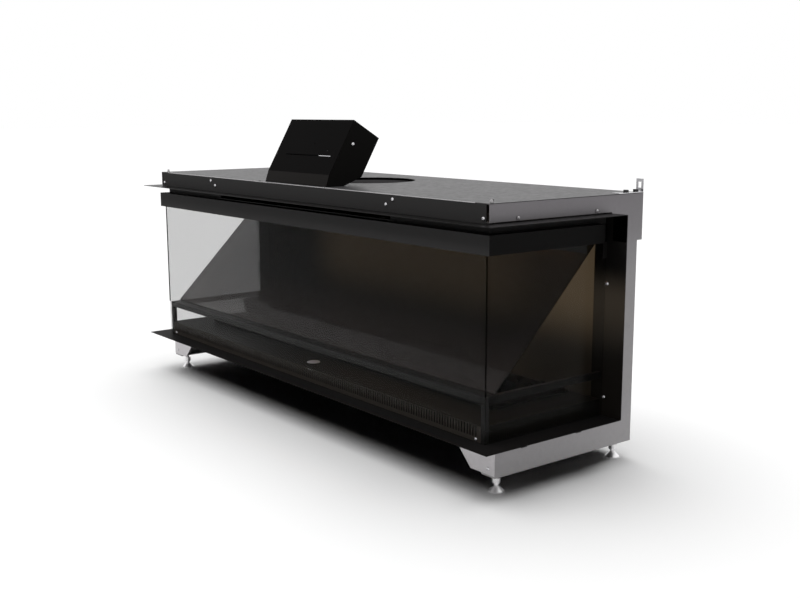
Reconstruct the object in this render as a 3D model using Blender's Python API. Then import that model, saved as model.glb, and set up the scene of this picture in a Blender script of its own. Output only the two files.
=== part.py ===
"""Built-in three-sided electric fireplace with an inclined mirror glass.

Metres, +Z up, front face towards -Y. The origin is the middle of the part's
footprint at floor level. Every place below is worked out from the named sizes.
"""

import math

import bmesh
import bpy
from mathutils import Matrix, Vector

# Casing
casing_width = 1.800
casing_depth = 0.570
casing_height = 0.701
foot_height = 0.049
sheet = 0.0015
seat_gap = 0.0003
cut_overrun = 0.010
head_band = 0.050
rear_box_height = 0.130
rear_box_step = 0.020
column_depth = 0.106
base_height = 0.088
base_setback = 0.026
return_width = 0.050
cover_hem = 0.0022
band_gap = 0.003

# Wall trim: the black flanges that a wall lining butts up to
trim_side_reach = 0.055
trim_front_reach = 0.049
plate_side_reach = 0.051
side_trim_inner = 0.055
corner_gap = 0.012
fascia_return = 0.003
fascia_ear = 0.0045

# Glazing
glass_thickness = 0.004
front_glass_inset = 0.004
side_glass_inset = 0.014
outlet_gap = 0.0267
apron_height = 0.050
apron_proud = 0.006
apron_end_gap = 0.031
neck_inset = 0.0185
neck_front_inset = 0.0195
outlet_half_length = 0.480
outlet_height = 0.018

# Low frame inside the glass
bar = 0.015
rail_height = 0.0187
bar_rounding = 0.0012
low_frame_height = 0.123
mirror_thickness = 0.004
mirror_angle = math.radians(45)
mirror_setback = 0.0214
mirror_side_gap = 0.003
ledge_depth = 0.052
holder_drop = 0.028
holder_foot = 0.024

# Deck, grille and button
deck_height = 0.0455
deck_setback = 0.0093
deck_side_gap = 0.004
slot_pitch = 0.011
slot_width = 0.0055
slot_low_rim = 0.012
slot_top_rim = 0.002
grille_end = 0.012
button_radius = 0.0165
button_clearance = 0.0005
button_height = 0.013
button_proud = 0.003
button_travel = 0.0025
button_floor_gap = 0.001
switch_depth = 0.022
bezel_wall = 0.0012
bezel_reach = 0.0028
bezel_thickness = 0.0012
button_setback = 0.061
button_offset = 0.018

# Fire bed and logs
bed_half_width = 0.780
bed_front = 0.130
bed_depth = 0.290
bed_height = 0.014
bed_rounding = 0.006
log_radius = 0.034
log_length = 0.400

# Screen, lights and inner panels
screen_half_width = 0.600
screen_front = 0.050
screen_depth = 0.290
screen_thickness = 0.003
screen_overlap = 0.010
light_bar_half = 0.800
light_bar_depth = 0.030
light_bar_height = 0.035
light_bar_setback = 0.0325
light_bar_wall = 0.0015

# Projector housing on the top cover
housing_width = 0.347
housing_depth = 0.196
housing_height = 0.195
housing_setback = 0.015
housing_slit_length = 0.252
housing_slit_height = 0.003
housing_slit_offset = 0.0135
projector_width = 0.240
projector_length = 0.110
projector_thickness = 0.060
lens_radius = 0.018
lens_length = 0.012
trunnion_radius = 0.004
trunnion_length = 0.010
cradle_strip = 0.010
cradle_clearance = 0.0025
aperture_half_width = 0.090
aperture_front = 0.034
aperture_depth = 0.041

# Round recess in the top cover
dish_radius = 0.150
dish_setback = 0.300
dish_depth = 0.008
dish_flange = 0.013

# Blower and heater in the rear box
blower_half_length = 0.300
blower_radius = 0.028
blower_setback = 0.055
blower_rise = 0.060
blower_shaft = 0.003
blower_end_gap = 0.004
blade_count = 20
blade_thickness = 0.0009
blade_depth = 0.008
scroll_gap = 0.004
scroll_growth = 0.006
scroll_wall = 0.0015
motor_radius = 0.025
motor_length = 0.044
element_depth = 0.012
element_height = 0.050
fin_count = 24
fin_thickness = 0.003

# Electrics behind the back panel
control_width = 0.300
control_height = 0.100
control_depth = 0.070
control_offset = 0.450
control_rise = 0.340
inlet_offset = 0.700
inlet_drop = 0.050
inlet_radius = 0.010
inlet_nut_radius = 0.015
inlet_outside = 0.017
inlet_inside = 0.014

# Levelling feet
foot_side_inset = 0.030
foot_front_inset = 0.0345
foot_rear_inset = 0.038
pad_radius = 0.020
pad_rim = 0.003
pad_slope = 0.0135
pad_neck_radius = 0.0065
pad_neck = 0.0015
stem_radius = 0.005
stem_top = 0.026
stem_socket = 0.006
stem_waist_radius = 0.0055
stem_collar_radius = 0.0115
stem_flare = 0.0072
stem_collar = 0.0125
thread_clearance = 0.0005
nut_radius = 0.012
nut_height = 0.008
foot_plate_half = 0.030
foot_plate_thickness = 0.003

# Wall brackets
bracket_width = 0.025
bracket_height = 0.0365
bracket_arm = 0.100
bracket_slot_width = 0.0086
bracket_slot_front = 0.0935
bracket_slot_back = 0.0125
wall_slot_width = 0.010
wall_slot_height = 0.016
stud_radius = 0.004
stud_nut_radius = 0.0075
stud_nut = 0.0065
stud_rear_inset = 0.018
stud_spacing = 0.040

# Clips and corner lugs
clip_width = 0.010
clip_height = 0.010
clip_thickness = 0.0015
clip_front = 0.096
clip_rear = 0.384
lug_width = 0.012
lug_height = 0.009
lug_side_inset = 0.015
lug_setback = 0.020

# Main planes and corners
half_width = casing_width / 2
foot_offset = half_width - foot_side_inset
bracket_offset = half_width - bracket_width / 2
top_z = foot_height + casing_height
fascia_y = trim_front_reach - (casing_depth + trim_front_reach) / 2
casing_back_y = fascia_y + casing_depth
column_back_y = casing_back_y - rear_box_step
column_front_y = column_back_y - column_depth
cover_low_z = top_z - sheet
band_low_z = top_z - head_band
step_z = top_z - rear_box_height
plate_low_z = foot_height + base_height
plate_top_z = plate_low_z + sheet
base_front_y = fascia_y + base_setback
frame_inner_x = half_width - sheet - seat_gap
return_inner_x = half_width - return_width - seat_gap

trim_top_z = band_low_z - seat_gap
trim_side_x = half_width + trim_side_reach
trim_front_y = fascia_y - trim_front_reach
side_trim_back_y = column_front_y - seat_gap
side_trim_front_y = side_trim_back_y - sheet
glazing_back_y = side_trim_front_y - seat_gap

neck_x = half_width - neck_inset
neck_y = fascia_y + neck_front_inset
apron_top_z = trim_top_z - outlet_gap
apron_low_z = apron_top_z - apron_height
apron_x = half_width + apron_proud
apron_y = fascia_y - apron_proud
apron_back_y = glazing_back_y - apron_end_gap
glass_x = half_width - side_glass_inset
glass_y = fascia_y + front_glass_inset
glass_low_z = plate_top_z + seat_gap
glass_top_z = apron_top_z - sheet - seat_gap
ceiling_low_z = apron_low_z
ceiling_top_z = ceiling_low_z + sheet

post_x = glass_x - glass_thickness - seat_gap
post_y = glass_y + glass_thickness + seat_gap
rail_top_z = plate_top_z + low_frame_height
rail_low_z = rail_top_z - rail_height
deck_top_z = plate_top_z + deck_height
deck_front_y = fascia_y + deck_setback
deck_x = post_x - deck_side_gap

# The mirror's middle plane: it rests on the ledge and ends under the ceiling
mirror_cos = math.cos(mirror_angle)
mirror_sin = math.sin(mirror_angle)
mirror_low_z = rail_top_z + seat_gap + mirror_thickness / 2 * mirror_cos
mirror_low_y = post_y + bar + mirror_setback
mirror_high_z = ceiling_low_z - seat_gap - mirror_thickness / 2 * mirror_cos
mirror_high_y = mirror_low_y + (mirror_high_z - mirror_low_z) * mirror_cos / mirror_sin
mirror_x = glass_x - glass_thickness - mirror_side_gap

back_panel_y = column_front_y
rear_sheet_y = column_back_y - sheet - seat_gap
rear_top_y = casing_back_y - sheet - seat_gap
blower_y = rear_top_y - blower_setback
blower_z = step_z + blower_rise
light_bar_back_y = back_panel_y - seat_gap - light_bar_setback + light_bar_depth

# Corners of the projector housing's side, as shares of its depth and height
housing_corner_shares = (
    (0.000, 0.000),
    (0.060, 0.180),
    (0.530, 1.000),
    (1.000, 0.715),
    (0.660, 0.127),
    (0.330, 0.000),
)
# The cradle's ears, in the same shares, leaning back with the housing
cradle_ear_shares = (
    (0.036, 0.000),
    (0.301, 0.000),
    (0.617, 0.410),
    (0.587, 0.515),
    (0.474, 0.515),
    (0.036, 0.041),
)
# Where the slit lies up the housing's sloping front
housing_slit_share = 0.33

# Log layout: across and back shares of the bed, turn, length and girth shares
log_layout_shares = (
    (-0.70, 0.60, 0.16, 1.00, 1.00),
    (-0.17, 0.35, -0.14, 0.95, 0.90),
    (0.33, 0.62, 0.20, 0.85, 1.05),
    (0.79, 0.42, -0.30, 0.72, 0.85),
)

# The front gusset's reach from the side and its low edge above the frame's
gusset_top_reach = 0.170
gusset_low_reach = 0.090
gusset_climb = 0.0055

round_sides = 32
small_sides = 12

materials = {}


def clear_scene():
    for item in list(bpy.data.objects):
        bpy.data.objects.remove(item, do_unlink=True)


def paint(name, colour, roughness, metallic=0.0, transmission=0.0):
    """A Principled material, made once for each name."""
    if name in materials:
        return materials[name]
    material = bpy.data.materials.new(name)
    material.use_nodes = True
    shader = material.node_tree.nodes["Principled BSDF"]
    shader.inputs["Base Color"].default_value = (*colour, 1.0)
    shader.inputs["Roughness"].default_value = roughness
    shader.inputs["Metallic"].default_value = metallic
    shader.inputs["Transmission Weight"].default_value = transmission
    materials[name] = material
    return material


def galvanised():
    return paint("galvanised_steel", (0.27, 0.26, 0.27), 0.45, 0.8)


def black_steel():
    return paint("black_steel", (0.022, 0.021, 0.021), 0.55)


def clear_glass():
    return paint("clear_glass", (0.85, 0.87, 0.86), 0.03, 0.0, 0.9)


def zinc():
    return paint("zinc_plate", (0.62, 0.62, 0.64), 0.3, 0.9)


def dark_plastic():
    return paint("dark_plastic", (0.03, 0.03, 0.032), 0.5)


def place(axis, first, second, along):
    """A point from two coordinates in a plane and one along its normal."""
    if axis == "X":
        return Vector((along, first, second))
    if axis == "Y":
        return Vector((first, along, second))
    return Vector((first, second, along))


def add_prism(bm, outline, axis, low, high):
    """Extrude a flat outline from low to high along an axis."""
    corners = [bm.verts.new(place(axis, a, b, low)) for a, b in outline]
    face = bm.faces.new(corners)
    grown = bmesh.ops.extrude_face_region(bm, geom=[face])["geom"]
    top = [item for item in grown if isinstance(item, bmesh.types.BMVert)]
    bmesh.ops.translate(bm, verts=top, vec=place(axis, 0, 0, high - low))


def rectangle(first_low, first_high, second_low, second_high):
    return [
        (first_low, second_low),
        (first_high, second_low),
        (first_high, second_high),
        (first_low, second_high),
    ]


def add_block(bm, xs, ys, zs):
    add_prism(bm, rectangle(*xs, *ys), "Z", *zs)


def facing(axis):
    """The turn that carries +Z onto a named axis."""
    turns = {
        "X": (math.pi / 2, "Y"),
        "-X": (-math.pi / 2, "Y"),
        "Y": (-math.pi / 2, "X"),
        "-Y": (math.pi / 2, "X"),
        "Z": (0, "X"),
    }
    return Matrix.Rotation(turns[axis][0], 4, turns[axis][1])


def add_turned(bm, profile, centre, axis, sides):
    """Spin a closed (radius, height) profile round an axis."""
    turned = bmesh.new()
    ring = [turned.verts.new((radius, 0, height)) for radius, height in profile]
    edges = []
    for one, two in zip(ring, ring[1:] + ring[:1]):
        if max(one.co.x, two.co.x) > 0:
            edges.append(turned.edges.new((one, two)))
    bmesh.ops.spin(
        turned, geom=ring + edges, cent=(0, 0, 0), axis=(0, 0, 1), angle=math.tau,
        steps=sides, use_merge=True,
    )
    bmesh.ops.remove_doubles(turned, verts=turned.verts, dist=seat_gap / 10)
    place_at = Matrix.Translation(centre) @ facing(axis)
    bmesh.ops.transform(turned, matrix=place_at, verts=turned.verts)
    mesh = bpy.data.meshes.new("turned")
    turned.to_mesh(mesh)
    turned.free()
    bm.from_mesh(mesh)
    bpy.data.meshes.remove(mesh)


def add_rod(bm, radius, centre, axis, length, sides):
    profile = [(0, 0), (radius, 0), (radius, length), (0, length)]
    add_turned(bm, profile, centre, axis, sides)


def add_three_sided(bm, profile, back_y):
    """Carry a closed (x, y, z) corner profile round left, front and right.

    x is the distance out to each side and y the front plane of that corner,
    so the two bends are mitred and both ends stop square at back_y.
    """
    stations = []
    for side, at_front in ((-1, False), (-1, True), (1, True), (1, False)):
        ring = [bm.verts.new((side * x, y if at_front else back_y, z)) for x, y, z in profile]
        stations.append(ring)
    for one, two in zip(stations, stations[1:]):
        for i in range(len(profile)):
            j = (i + 1) % len(profile)
            bm.faces.new((one[i], one[j], two[j], two[i]))
    bm.faces.new(stations[0])
    bm.faces.new(stations[-1])


def make(name, bm, material, pivot=(0, 0, 0), smooth_angle=None):
    """Turn the mesh into a named object whose origin is its pivot."""
    bmesh.ops.recalc_face_normals(bm, faces=bm.faces)
    bmesh.ops.translate(bm, verts=bm.verts, vec=-Vector(pivot))
    mesh = bpy.data.meshes.new(name)
    bm.to_mesh(mesh)
    bm.free()
    if smooth_angle:
        mesh.shade_smooth()
        mesh.set_sharp_from_angle(angle=smooth_angle)
    thing = bpy.data.objects.new(name, mesh)
    thing.location = pivot
    bpy.context.collection.objects.link(thing)
    if material:
        mesh.materials.append(material)
    return thing


def combine(target, name, bm, operation="DIFFERENCE"):
    """Cut or join a guide shape with an exact Boolean."""
    guide = make(name, bm, None)
    guide.hide_render = True
    guide.display_type = "WIRE"
    step = target.modifiers.new(name, "BOOLEAN")
    step.operation = operation
    step.solver = "EXACT"
    step.object = guide


def round_edges(thing, width, segments=2):
    step = thing.modifiers.new("rounding", "BEVEL")
    step.width = width
    step.segments = segments
    step.limit_method = "ANGLE"


def sides():
    return (("right", 1), ("left", -1))


def span(side, inner, outer):
    """An X interval given from the middle outwards, on one side."""
    return (side * inner, side * outer) if side > 0 else (side * outer, side * inner)


def make_side_frames():
    """C-shaped galvanised side sheets with a folded return round the edge."""
    front = base_front_y + sheet + seat_gap
    cover = cover_low_z - seat_gap
    plate = plate_low_z - seat_gap
    # the top return starts behind the fascia
    fascia_back = fascia_y + fascia_return + seat_gap
    outline = [
        (front, foot_height),
        (column_back_y, foot_height),
        (column_back_y, step_z),
        (casing_back_y, step_z),
        (casing_back_y, cover),
        (fascia_y, cover),
        (fascia_y, band_low_z + band_gap),
        (column_front_y, band_low_z + band_gap),
        (column_front_y, plate),
        (front, plate),
    ]
    hollow = [
        (front + sheet, foot_height + sheet),
        (column_back_y - sheet, foot_height + sheet),
        (column_back_y - sheet, step_z + sheet),
        (casing_back_y - sheet, step_z + sheet),
        (casing_back_y - sheet, cover - sheet),
        (fascia_back, cover - sheet),
        (fascia_back, cover + cut_overrun),
        (fascia_y - cut_overrun, cover + cut_overrun),
        (fascia_y - cut_overrun, band_low_z - cut_overrun),
        (column_front_y + sheet, band_low_z - cut_overrun),
        (column_front_y + sheet, plate - sheet),
        (front + sheet, plate - sheet),
    ]
    for label, side in sides():
        bm = bmesh.new()
        add_prism(bm, outline, "X", *span(side, half_width - return_width, half_width))
        frame = make(f"side_frame_{label}", bm, galvanised())
        bm = bmesh.new()
        inner = half_width - return_width - cut_overrun
        add_prism(bm, hollow, "X", *span(side, inner, half_width - sheet))
        combine(frame, f"frame_hollow_{label}", bm)
        nuts, plates, holes, clips = bmesh.new(), bmesh.new(), bmesh.new(), bmesh.new()
        high = foot_height + sheet + foot_plate_thickness
        nut_top = high + nut_height
        for _, y in foot_places():
            x = side * foot_offset
            nut_low = foot_height + sheet / 2
            add_rod(nuts, nut_radius, (x, y, nut_low), "Z", nut_top - nut_low, 6)
            add_block(
                plates, span(side, half_width - return_width, half_width - sheet / 2),
                (y - foot_plate_half, y + foot_plate_half), (foot_height + sheet / 2, high),
            )
            bore = stem_radius + thread_clearance
            depth = nut_top - foot_height + 2 * cut_overrun
            add_rod(holes, bore, (x, y, foot_height - cut_overrun), "Z", depth, small_sides)
        for back in (clip_front, clip_rear):
            y = fascia_y + back
            add_block(
                clips, span(side, half_width - sheet / 2, half_width + clip_thickness),
                (y - clip_width / 2, y + clip_width / 2),
                (band_low_z + band_gap + sheet, band_low_z + band_gap + sheet + clip_height),
            )
        combine(frame, f"foot_nuts_{label}", nuts, "UNION")
        combine(frame, f"foot_plates_{label}", plates, "UNION")
        combine(frame, f"stem_holes_{label}", holes)
        combine(frame, f"trim_clips_{label}", clips, "UNION")


def make_gussets():
    """Tapered plates that close the base's front corners."""
    plate = plate_low_z - seat_gap
    for label, side in sides():
        outline = [
            (side * half_width, foot_height + gusset_climb),
            (side * half_width, plate),
            (side * (half_width - gusset_top_reach), plate),
            (side * (half_width - gusset_low_reach), foot_height + gusset_climb),
        ]
        bm = bmesh.new()
        add_prism(bm, outline, "Y", base_front_y, base_front_y + sheet)
        make(f"base_gusset_{label}", bm, galvanised())


def make_top_cover():
    """Top sheet with a short front hem, a projector aperture and a round hole."""
    outline = [
        (fascia_y, top_z - cover_hem),
        (fascia_y + sheet, top_z - cover_hem),
        (fascia_y + sheet, cover_low_z),
        (casing_back_y, cover_low_z),
        (casing_back_y, top_z),
        (fascia_y, top_z),
    ]
    bm = bmesh.new()
    # the hem stops short of the side frames' top returns
    add_prism(bm, outline, "X", -return_inner_x, return_inner_x)
    cover = make("top_cover", bm, galvanised())
    bm = bmesh.new()
    add_block(bm, (-half_width, half_width), (fascia_y, casing_back_y), (cover_low_z, top_z))
    combine(cover, "cover_wings", bm, "UNION")
    bm = bmesh.new()
    for _, side in sides():
        middle = half_width - lug_side_inset
        add_block(
            bm, span(side, middle - lug_width / 2, middle + lug_width / 2),
            (fascia_y + lug_setback, fascia_y + lug_setback + sheet),
            (cover_low_z + sheet / 2, top_z + lug_height),
        )
        nut_low = top_z + 2 * seat_gap + sheet
        for i in range(2):
            y = casing_back_y - stud_rear_inset - i * stud_spacing
            profile = [
                (0, cover_low_z + sheet / 2),
                (stud_radius, cover_low_z + sheet / 2),
                (stud_radius, nut_low),
                (stud_nut_radius, nut_low),
                (stud_nut_radius, nut_low + stud_nut),
                (0, nut_low + stud_nut),
            ]
            add_turned(bm, profile, (side * bracket_offset, y, 0), "Z", small_sides)
    combine(cover, "lugs_and_studs", bm, "UNION")
    bm = bmesh.new()
    aperture_y = fascia_y + aperture_front
    add_block(
        bm, (-aperture_half_width, aperture_half_width),
        (aperture_y, aperture_y + aperture_depth),
        (cover_low_z - cut_overrun, top_z + cut_overrun),
    )
    centre = (0, fascia_y + dish_setback, cover_low_z - cut_overrun)
    add_rod(bm, dish_radius, centre, "Z", sheet + 2 * cut_overrun, 2 * round_sides)
    combine(cover, "cover_holes", bm)


def make_vent_dish():
    """Shallow round pan under the hole in the top cover."""
    top = cover_low_z - seat_gap
    floor = top_z - dish_depth
    wall = dish_radius - seat_gap
    profile = [
        (0, floor - sheet),
        (wall, floor - sheet),
        (wall, top - sheet),
        (wall + dish_flange, top - sheet),
        (wall + dish_flange, top),
        (wall - sheet, top),
        (wall - sheet, floor),
        (0, floor),
    ]
    bm = bmesh.new()
    add_turned(bm, profile, (0, fascia_y + dish_setback, 0), "Z", 2 * round_sides)
    make("vent_dish", bm, galvanised(), smooth_angle=math.radians(30))


def make_rear_panels():
    inlet_z = step_z - inlet_drop
    bm = bmesh.new()
    low = foot_height + sheet + seat_gap
    add_block(
        bm, (-frame_inner_x, frame_inner_x),
        (rear_sheet_y - sheet, rear_sheet_y), (low, step_z + sheet),
    )
    panel = make("rear_panel", bm, galvanised())
    bm = bmesh.new()
    centre = (-inlet_offset, rear_sheet_y - cut_overrun, inlet_z)
    add_rod(bm, inlet_radius + seat_gap, centre, "Y", 2 * cut_overrun, round_sides)
    combine(panel, "inlet_hole", bm)

    shelf = step_z + sheet + seat_gap
    high = cover_low_z - seat_gap - sheet - seat_gap
    outline = [
        (rear_sheet_y - sheet, shelf),
        (rear_top_y, shelf),
        (rear_top_y, high),
        (rear_top_y - sheet, high),
        (rear_top_y - sheet, shelf + sheet),
        (rear_sheet_y - sheet, shelf + sheet),
    ]
    bm = bmesh.new()
    add_prism(bm, outline, "X", -frame_inner_x, frame_inner_x)
    top_panel = make("rear_top_panel", bm, galvanised())
    bm = bmesh.new()
    pitch = 2 * blower_half_length / (fin_count - 1)
    middle = (shelf + high) / 2
    for i in range(fin_count):
        x = -blower_half_length + i * pitch
        add_block(
            bm, (x - slot_width / 2, x + slot_width / 2),
            (rear_top_y - sheet - cut_overrun, rear_top_y + cut_overrun),
            (middle - element_height / 2, middle + element_height / 2),
        )
    combine(top_panel, "intake_slots", bm)

    bm = bmesh.new()
    add_block(
        bm, (-return_inner_x, return_inner_x),
        (base_front_y + 2 * sheet + 2 * seat_gap, rear_sheet_y - sheet - seat_gap),
        (plate_low_z - seat_gap - sheet, plate_low_z - seat_gap),
    )
    make("floor_pan", bm, galvanised())


def make_top_fascia():
    """Front sheet with hemmed ends and low ears that reach the side frames."""
    edge = half_width - corner_gap
    back = fascia_y + fascia_return
    outline = [
        (-edge, fascia_y),
        (edge, fascia_y),
        (edge, back),
        (edge - sheet, back),
        (edge - sheet, fascia_y + sheet),
        (sheet - edge, fascia_y + sheet),
        (sheet - edge, back),
        (-edge, back),
    ]
    bm = bmesh.new()
    add_prism(bm, outline, "Z", band_low_z, top_z - cover_hem - seat_gap)
    fascia = make("top_fascia", bm, black_steel())
    bm = bmesh.new()
    for _, side in sides():
        add_block(
            bm, span(side, edge - sheet, frame_inner_x), (fascia_y + sheet, back),
            (band_low_z, band_low_z + fascia_ear),
        )
    combine(fascia, "fascia_ears", bm, "UNION")


def make_three_sided_sheets():
    outer = (trim_side_x, trim_front_y)
    inner = (neck_x + seat_gap, neck_y - seat_gap)
    profile = [
        (*outer, trim_top_z),
        (*outer, trim_top_z - sheet),
        (*inner, trim_top_z - sheet),
        (*inner, trim_top_z),
    ]
    bm = bmesh.new()
    add_three_sided(bm, profile, glazing_back_y)
    make("top_trim", bm, black_steel())

    neck_low = ceiling_top_z + seat_gap
    profile = [
        (neck_x, neck_y, trim_top_z),
        (neck_x, neck_y, neck_low),
        (neck_x - sheet, neck_y + sheet, neck_low),
        (neck_x - sheet, neck_y + sheet, trim_top_z),
    ]
    bm = bmesh.new()
    add_three_sided(bm, profile, glazing_back_y)
    neck = make("outlet_neck", bm, black_steel())
    bm = bmesh.new()
    add_block(
        bm, (-outlet_half_length, outlet_half_length),
        (neck_y - cut_overrun, neck_y + sheet + cut_overrun),
        (apron_top_z + sheet, apron_top_z + sheet + outlet_height),
    )
    combine(neck, "outlet_slot", bm)

    profile = [
        (apron_x, apron_y, apron_top_z),
        (apron_x, apron_y, apron_low_z),
        (glass_x + seat_gap, glass_y - seat_gap, apron_low_z),
        (glass_x + seat_gap, glass_y - seat_gap, apron_low_z + sheet),
        (apron_x - sheet, apron_y + sheet, apron_low_z + sheet),
        (apron_x - sheet, apron_y + sheet, apron_top_z - sheet),
        (neck_x + seat_gap, neck_y - seat_gap, apron_top_z - sheet),
        (neck_x + seat_gap, neck_y - seat_gap, apron_top_z),
    ]
    bm = bmesh.new()
    add_three_sided(bm, profile, apron_back_y)
    make("lower_fascia", bm, black_steel())


def make_bottom_plate():
    """Flat sheet under the glass that stands out past the base on three sides."""
    reach = half_width + plate_side_reach
    bm = bmesh.new()
    add_block(bm, (-reach, reach), (trim_front_y, side_trim_back_y), (plate_low_z, plate_top_z))
    make("bottom_plate", bm, black_steel())


def make_side_trims():
    for label, side in sides():
        bm = bmesh.new()
        add_block(
            bm, span(side, half_width - side_trim_inner, trim_side_x),
            (side_trim_front_y, side_trim_back_y), (plate_top_z + seat_gap, trim_top_z),
        )
        make(f"side_trim_{label}", bm, black_steel())


def make_glass():
    bm = bmesh.new()
    add_block(
        bm, (-glass_x, glass_x), (glass_y, glass_y + glass_thickness), (glass_low_z, glass_top_z),
    )
    make("front_glass", bm, clear_glass())
    for label, side in sides():
        bm = bmesh.new()
        add_block(
            bm, span(side, glass_x - glass_thickness, glass_x),
            (post_y, glazing_back_y), (glass_low_z, glass_top_z),
        )
        make(f"side_glass_{label}", bm, clear_glass())


def make_low_frame():
    """Square posts and rails that stand just inside the glass."""
    for label, side in sides():
        bm = bmesh.new()
        across = span(side, post_x - bar, post_x)
        add_block(bm, across, (post_y, post_y + bar), (glass_low_z, rail_top_z))
        post = make(f"corner_post_{label}", bm, black_steel())
        round_edges(post, bar_rounding)
        bm = bmesh.new()
        back = post_y + bar + seat_gap
        add_block(bm, across, (back, glazing_back_y), (rail_low_z, rail_top_z))
        rail = make(f"side_rail_{label}", bm, black_steel())
        round_edges(rail, bar_rounding)
    inner = post_x - bar - seat_gap
    bm = bmesh.new()
    add_block(bm, (-inner, inner), (post_y, post_y + bar), (rail_low_z, rail_top_z))
    rail = make("front_rail", bm, black_steel())
    round_edges(rail, bar_rounding)


def make_mirror():
    """The inclined glass, its ledge behind the front rail and its top holder."""
    half = mirror_thickness / 2
    reach = (-mirror_sin * half, mirror_cos * half)
    outline = [
        (mirror_low_y + reach[0], mirror_low_z + reach[1]),
        (mirror_low_y - reach[0], mirror_low_z - reach[1]),
        (mirror_high_y - reach[0], mirror_high_z - reach[1]),
        (mirror_high_y + reach[0], mirror_high_z + reach[1]),
    ]
    bm = bmesh.new()
    add_prism(bm, outline, "X", -mirror_x, mirror_x)
    make("mirror_glass", bm, paint("mirror_glass", (0.35, 0.33, 0.34), 0.03, 0.2, 0.8))

    back = post_y + bar + seat_gap
    inner = post_x - bar - seat_gap
    outline = [
        (back, rail_low_z),
        (back + sheet, rail_low_z),
        (back + sheet, rail_top_z - sheet),
        (fascia_y + ledge_depth, rail_top_z - sheet),
        (fascia_y + ledge_depth, rail_top_z),
        (back, rail_top_z),
    ]
    bm = bmesh.new()
    add_prism(bm, outline, "X", -inner, inner)
    make("mirror_ledge", bm, black_steel())

    # the holder's lower edge stops a seat gap above the mirror's front face
    top = ceiling_low_z - seat_gap
    low = top - holder_drop
    face_y = mirror_low_y + (low - mirror_low_z) * mirror_cos / mirror_sin
    leg = face_y - (half + seat_gap) / mirror_sin
    outline = [
        (leg, low),
        (leg, top),
        (leg - holder_foot, top),
        (leg - holder_foot, top - sheet),
        (leg - sheet, top - sheet),
        (leg - sheet, low),
    ]
    bm = bmesh.new()
    add_prism(bm, outline, "X", -mirror_x, mirror_x)
    make("mirror_top_holder", bm, black_steel())


def make_deck():
    """Deck sheet, notched round the posts, with folded sides."""
    notch_x = post_x - bar - seat_gap
    notch_y = post_y + bar + seat_gap
    back = back_panel_y - seat_gap - sheet
    outline = [
        (-notch_x, deck_front_y),
        (notch_x, deck_front_y),
        (notch_x, notch_y),
        (deck_x, notch_y),
        (deck_x, back),
        (-deck_x, back),
        (-deck_x, notch_y),
        (-notch_x, notch_y),
    ]
    bm = bmesh.new()
    add_prism(bm, outline, "Z", glass_low_z, deck_top_z)
    deck = make("deck", bm, black_steel())
    bm = bmesh.new()
    add_block(
        bm, (sheet - deck_x, deck_x - sheet), (deck_front_y - cut_overrun, back + cut_overrun),
        (glass_low_z - cut_overrun, deck_top_z - sheet),
    )
    combine(deck, "deck_hollow", bm)
    bm = bmesh.new()
    centre = (button_offset, fascia_y + button_setback, deck_top_z - cut_overrun)
    hole = button_radius + button_clearance + bezel_wall + seat_gap
    add_rod(bm, hole, centre, "Z", 2 * cut_overrun, round_sides)
    combine(deck, "button_hole", bm)


def make_air_grille():
    """Front strip of the deck with a row of upright slots."""
    half = post_x - bar - seat_gap
    count = int((2 * (half - grille_end)) / slot_pitch)
    first = -(count - 1) / 2 * slot_pitch
    top = deck_top_z - sheet - seat_gap
    bm = bmesh.new()
    add_block(bm, (-half, half), (deck_front_y, deck_front_y + sheet), (glass_low_z, top))
    grille = make("air_grille", bm, black_steel())
    bm = bmesh.new()
    for i in range(count):
        middle = first + i * slot_pitch
        add_block(
            bm, (middle - slot_width / 2, middle + slot_width / 2),
            (deck_front_y - cut_overrun, deck_front_y + sheet + cut_overrun),
            (glass_low_z + slot_low_rim, top - slot_top_rim),
        )
    combine(grille, "air_slots", bm)


def make_button():
    """Round push button in a bezel that drops through the deck."""
    centre = (button_offset, fascia_y + button_setback, deck_top_z)
    inner = button_radius + button_clearance
    outer = inner + bezel_wall
    floor = button_proud - button_height - button_travel - button_floor_gap
    profile = [
        (0, -switch_depth),
        (outer, -switch_depth),
        (outer, seat_gap),
        (outer + bezel_reach, seat_gap),
        (outer + bezel_reach, seat_gap + bezel_thickness / 2),
        (outer + bezel_reach / 2, seat_gap + bezel_thickness),
        (inner, seat_gap + bezel_thickness),
        (inner, floor),
        (0, floor),
    ]
    bm = bmesh.new()
    add_turned(bm, profile, centre, "Z", round_sides)
    make("button_bezel", bm, zinc(), smooth_angle=math.radians(30))
    crown = button_proud / 6
    profile = [
        (0, button_proud - button_height),
        (button_radius, button_proud - button_height),
        (button_radius, button_proud - 2 * crown),
        (button_radius - crown, button_proud - crown),
        (button_radius * 0.6, button_proud),
        (0, button_proud),
    ]
    bm = bmesh.new()
    add_turned(bm, profile, centre, "Z", round_sides)
    make("push_button", bm, zinc(), pivot=centre, smooth_angle=math.radians(30))


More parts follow.
